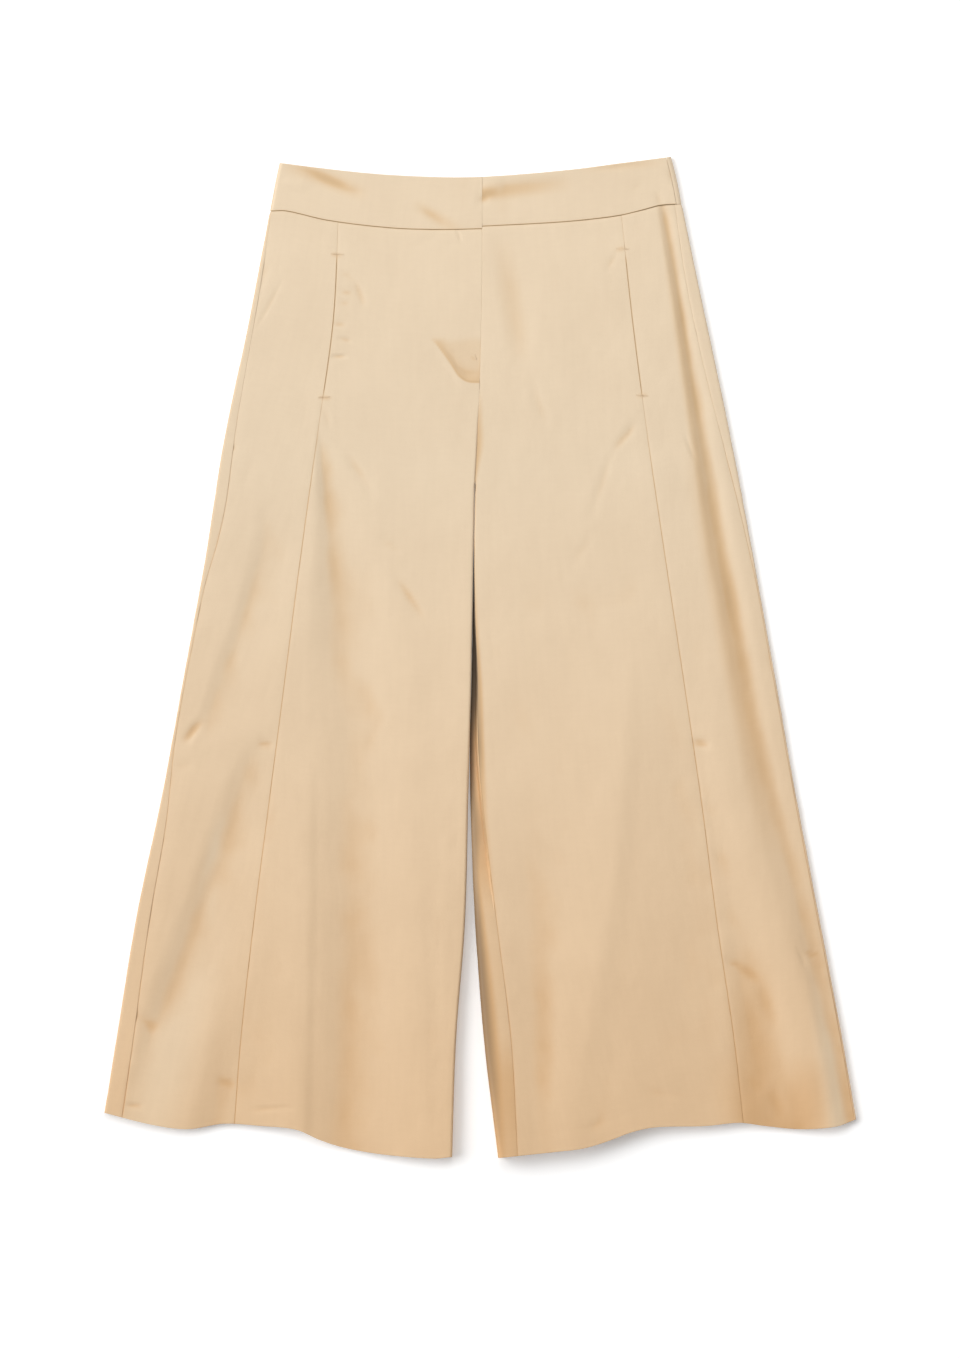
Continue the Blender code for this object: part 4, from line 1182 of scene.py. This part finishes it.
# Painted shade: the colour is a little warmer and darker towards the hems
HEM_SHADE_FROM_TO, HEM_SHADE_TINT = (0.03, 0.68), (1.035, 0.89, 0.74)
WHITE = (1.0, 1.0, 1.0, 1.0)
FLOOR_GLOW = 0.2  # the pale floor is lit from below as well


def new_material(name, values):
    """A material whose shader has these values."""
    made = bpy.data.materials.new(name)
    made.use_nodes = True
    shader = made.node_tree.nodes["Principled BSDF"]
    for label, value in values.items():
        shader.inputs[label].default_value = value
    return made, made.node_tree, shader.inputs


def cloth_map(tree):
    return add_node(tree, "ShaderNodeUVMap", uv_map="cloth")


def noise_on_cloth(tree, size, detail=2.0, stretch=(1.0, 1.0)):
    """Noise on the piece's cloth map, with lumps of this size in metres."""
    place = add_node(tree, "ShaderNodeMapping", {"Vector": cloth_map(tree), "Scale": (*stretch, 1.0)})
    return add_node(tree, "ShaderNodeTexNoise", {"Vector": place, "Scale": 1.0 / size, "Detail": detail})


def weighted(tree, *parts):
    """The sum of some outputs, each times its weight."""
    total = None
    for value, weight in parts:
        part = combine(tree, "MULTIPLY", value, weight)
        total = part if total is None else combine(tree, "ADD", total, part)
    return total


def blend_colours(tree, factor, first, second, blend="MIX"):
    inputs = {"Factor": factor, "A": first, "B": second}
    return add_node(tree, "ShaderNodeMix", inputs, data_type="RGBA", blend_type=blend)


def contrast(tree, factor, low, high):
    return add_node(tree, "ShaderNodeMapRange", {"Value": factor, "From Min": low, "From Max": high})


def woven_cotton(name, colour, pitch, sheen, roughness, gloss):
    """Fine cotton: clouded colour, slubs along the yarn, the weave's relief and soft crumples."""
    values = {"IOR": 1.5, "Specular IOR Level": gloss, "Sheen Weight": sheen, "Sheen Roughness": 0.45}
    made, tree, inputs = new_material(name, values | {"Sheen Tint": (1.0, 0.85, 0.66, 1.0)})
    clouds = noise_on_cloth(tree, 0.07, 3.0)
    slubs = noise_on_cloth(tree, 0.006, 2.0, (1.0, 0.12))
    flecks = noise_on_cloth(tree, 0.0035, 2.0, (0.3, 1.0))
    mottle = contrast(tree, weighted(tree, (clouds, 0.5), (slubs, 0.3), (flecks, 0.2)), 0.3, 0.7)
    dark, light = [c * s for c, s in zip(colour, (0.97, 0.955, 0.94))], [min(c * 1.03, 1) for c in colour]
    mottled = blend_colours(tree, mottle, (*dark, 1.0), (*light, 1.0))
    # Painted shade, warmer and darker towards the hems, and the painted shading that each point carries
    up = add_node(tree, "ShaderNodeSeparateXYZ", {"Vector": cloth_map(tree)}, "Y")
    hem_shade = blend_colours(tree, contrast(tree, up, *HEM_SHADE_FROM_TO), (*HEM_SHADE_TINT, 1.0), WHITE)
    painted_shading = add_node(tree, "ShaderNodeAttribute", attribute_name="painted_shading")
    hem_shaded = blend_colours(tree, 1.0, mottled, hem_shade, "MULTIPLY")
    tree.links.new(blend_colours(tree, 1.0, hem_shaded, painted_shading, "MULTIPLY"), inputs["Base Color"])
    warp = noise_on_cloth(tree, pitch, 1.0, (1.0, 0.25))
    weft = noise_on_cloth(tree, 1.5 * pitch, 1.0, (0.2, 1.0))
    creases = noise_on_cloth(tree, 0.016, 3.0, (1.0, 0.7))
    relief = add_node(tree, "ShaderNodeBump", {"Height": creases, "Strength": 0.5, "Distance": 0.0006})
    weave = {"Height": weighted(tree, (warp, 0.7), (weft, 0.3)), "Strength": 0.35, "Distance": 0.00012}
    tree.links.new(add_node(tree, "ShaderNodeBump", weave | {"Normal": relief}), inputs["Normal"])
    tree.links.new(combine(tree, "ADD", weighted(tree, (slubs, 0.12)), roughness - 0.04), inputs["Roughness"])
    return made


def pale_floor(name, colour):
    glow = {"Emission Color": WHITE, "Emission Strength": FLOOR_GLOW}
    made, tree, inputs = new_material(name, {"Roughness": 0.9, "Specular IOR Level": 0.1} | glow)
    place = add_node(tree, "ShaderNodeTexCoord", output="Object")
    clouds = add_node(tree, "ShaderNodeTexNoise", {"Vector": place, "Scale": 3.0})
    mottled = blend_colours(tree, clouds, (*(c * 0.99 for c in colour), 1.0), (*colour, 1.0))
    tree.links.new(mottled, inputs["Base Color"])
    return made


def cotton_thread(name):
    return new_material(name, {"Base Color": (0.68, 0.53, 0.36, 1.0), "Roughness": 0.6})[0]


def cloth_finish(slot):
    """The sateen or the pocketing, made once."""
    looks = bpy.context.scene.culottes_looks
    name, *settings = {
        "sateen": ("sateen_cloth", looks.cotton, looks.yarn_pitch, looks.sheen, 0.6, 0.6),
        "pocketing": ("pocket_cloth", looks.pocketing, 0.0006, 0.05, 0.8, 0.2),
    }[slot]
    return bpy.data.materials.get(name) or woven_cotton(name, *settings)


# ---- what a user may change


def colour_setting(name, description, default):
    kind = {"subtype": "COLOR", "size": 3, "min": 0.0, "max": 1.0}
    return FloatVectorProperty(name=name, description=description, default=default, **kind)


def length_setting(name, description, default, least):
    return FloatProperty(name=name, description=description, default=default, min=least, subtype="DISTANCE")


def strength_setting(name, description, default, **limits):
    return FloatProperty(name=name, description=description, default=default, min=0.0, **limits)


class CulottesLooks(bpy.types.PropertyGroup):
    """Colours and finish of the cloth."""

    cotton: colour_setting("Cotton", "Colour of the sateen", (0.702, 0.560, 0.391))
    pocketing: colour_setting("Pocketing", "Colour of the pocket bags", (0.80, 0.66, 0.49))
    yarn_pitch: length_setting("Yarn pitch", "Distance between two warp yarns", 0.0004, 0.0001)
    sheen: strength_setting("Sheen", "Strength of the soft sheen", 0.04, max=1.0)


class CulottesStitches(bpy.types.PropertyGroup):
    """The bar tacks' stitches."""

    stitch_pitch: length_setting("Stitch pitch", "Distance between two stitches", 0.0005, 0.0002)
    stitch_length: length_setting("Stitch length", "Width of a bar tack", 0.0016, 0.0005)


class CulottesStage(bpy.types.PropertyGroup):
    """Floor, light and camera."""

    floor: colour_setting("Floor", "Colour of the floor", (0.93, 0.93, 0.93))
    window: strength_setting("Window", "Strength of the light from the side", 2.46)
    rim: strength_setting("Rim light", "Strength of the low light from the other side", 0.8)
    softbox_power: strength_setting("Softbox", "Power of the light above", 8.0, unit="POWER")
    daylight: strength_setting("Daylight", "Strength of the light from all round", 0.26)


# ---- operators


class CULOTTES_OT_front_panels(bpy.types.Operator):
    """Make the centre and side panels of both fronts"""

    bl_idname = "culottes.front_panels"
    bl_label = "Front panels"

    def execute(self, context):
        for side in SIDES:
            front_panels(side)
        return {"FINISHED"}


class CULOTTES_OT_back_panels(bpy.types.Operator):
    """Make the back panels, which wrap round the side and inner edges"""

    bl_idname = "culottes.back_panels"
    bl_label = "Back panels"

    def execute(self, context):
        for side in SIDES:
            back_panel(side)
        return {"FINISHED"}


class CULOTTES_OT_waistband(bpy.types.Operator):
    """Make the waistband's two fronts and its back"""

    bl_idname = "culottes.waistband"
    bl_label = "Waistband"

    def execute(self, context):
        for side in SIDES:
            band_front(side)
        band_behind()
        return {"FINISHED"}


class CULOTTES_OT_pockets(bpy.types.Operator):
    """Make the pocket bags"""

    bl_idname = "culottes.pockets"
    bl_label = "Pocket bags"

    def execute(self, context):
        for side in SIDES:
            pocket(side)
        return {"FINISHED"}


class CULOTTES_OT_shield(bpy.types.Operator):
    """Make the fly shield"""

    bl_idname = "culottes.shield"
    bl_label = "Fly shield"

    def execute(self, context):
        shield()
        return {"FINISHED"}


class CULOTTES_OT_tacks(bpy.types.Operator):
    """Sew the bar tacks at the pocket mouths and the fly"""

    bl_idname = "culottes.tacks"
    bl_label = "Bar tacks"

    def execute(self, context):
        make_tacks("bar_tacks", cotton_thread("cotton_thread"), context.scene.culottes_stitches)
        return {"FINISHED"}


# The height of the picture at the cloth, its middle, and how far up the camera and the cloth are
VIEW_HEIGHT, VIEW_CENTRE, VIEW_DISTANCE, CLOTH_HEIGHT = 1.2765, -0.0202, 10.0, 0.012
WINDOW_PLACE, WINDOW_SPREAD = (-1.65, 0.45, 1.45), math.radians(46)
RIM_PLACE, RIM_SPREAD = (2.0, 0.2, 0.26), math.radians(24)
SOFTBOX_PLACE, SOFTBOX_SIZE = (-0.1, 0.6, 1.4), 1.0
FLOOR_REACH, FLOOR_LEVEL = 12.0, -0.0004


def add_light(name, kind, energy, place, **settings):
    """A light at this place that faces the middle of the floor."""
    light = bpy.data.lights.new(name, kind)
    light.energy = energy
    for setting, value in settings.items():
        setattr(light, setting, value)
    made = add_object(name, light)
    made.location = place
    made.rotation_mode = "QUATERNION"
    made.rotation_quaternion = (-made.location).to_track_quat("-Z", "Y")


class CULOTTES_OT_stage(bpy.types.Operator):
    """Make the floor, the soft light and the camera straight above"""

    bl_idname = "culottes.stage"
    bl_label = "Stage"

    def execute(self, context):
        settings = context.scene.culottes_stage
        mesh = bpy.data.meshes.new("floor")
        corners = ((-1, -1), (1, -1), (1, 1), (-1, 1))
        corners = [(x * FLOOR_REACH, y * FLOOR_REACH, FLOOR_LEVEL) for x, y in corners]
        mesh.from_pydata(corners, [], [(0, 1, 2, 3)])
        mesh.materials.append(pale_floor("pale_floor", settings.floor))
        add_object("floor", mesh)

        add_light("window", "SUN", settings.window, WINDOW_PLACE, angle=WINDOW_SPREAD)
        add_light("rim", "SUN", settings.rim, RIM_PLACE, angle=RIM_SPREAD)
        add_light("softbox", "AREA", settings.softbox_power, SOFTBOX_PLACE, shape="SQUARE", size=SOFTBOX_SIZE)
        world = bpy.data.worlds.new("daylight")
        world.use_nodes = True
        background = world.node_tree.nodes["Background"].inputs
        background["Color"].default_value = WHITE
        background["Strength"].default_value = settings.daylight
        context.scene.world = world

        lens = bpy.data.cameras.new("camera")
        lens.lens = lens.sensor_width * (VIEW_DISTANCE - CLOTH_HEIGHT) / VIEW_HEIGHT
        camera = add_object("camera", lens)
        camera.location = (0.0, VIEW_CENTRE, VIEW_DISTANCE)
        context.scene.camera = camera
        context.scene.view_settings.view_transform = "Standard"
        return {"FINISHED"}


class CULOTTES_PT_panel(bpy.types.Panel):
    """The culottes' settings and steps"""

    bl_label = "Culottes"
    bl_idname = "CULOTTES_PT_panel"
    bl_space_type = "VIEW_3D"
    bl_region_type = "UI"
    bl_category = "Culottes"

    def draw(self, context):
        for name, kind in GROUPS.items():
            for setting in kind.__annotations__:
                self.layout.prop(getattr(context.scene, name), setting)
        for step in STEPS:
            self.layout.operator(step.bl_idname)


STEPS = (
    CULOTTES_OT_back_panels,
    CULOTTES_OT_front_panels,
    CULOTTES_OT_waistband,
    CULOTTES_OT_pockets,
    CULOTTES_OT_shield,
    CULOTTES_OT_tacks,
    CULOTTES_OT_stage,
)
GROUPS = {
    "culottes_looks": CulottesLooks,
    "culottes_stitches": CulottesStitches,
    "culottes_stage": CulottesStage,
}
CLASSES = (*GROUPS.values(), *STEPS, CULOTTES_PT_panel)


def register():
    for one in CLASSES:
        bpy.utils.register_class(one)
    for name, group in GROUPS.items():
        setattr(bpy.types.Scene, name, PointerProperty(type=group))


def unregister():
    for name in GROUPS:
        delattr(bpy.types.Scene, name)
    for one in reversed(CLASSES):
        bpy.utils.unregister_class(one)


def main():
    register()
    for step in STEPS:
        group, name = step.bl_idname.split(".")
        getattr(getattr(bpy.ops, group), name)()


if __name__ == "__main__":
    main()
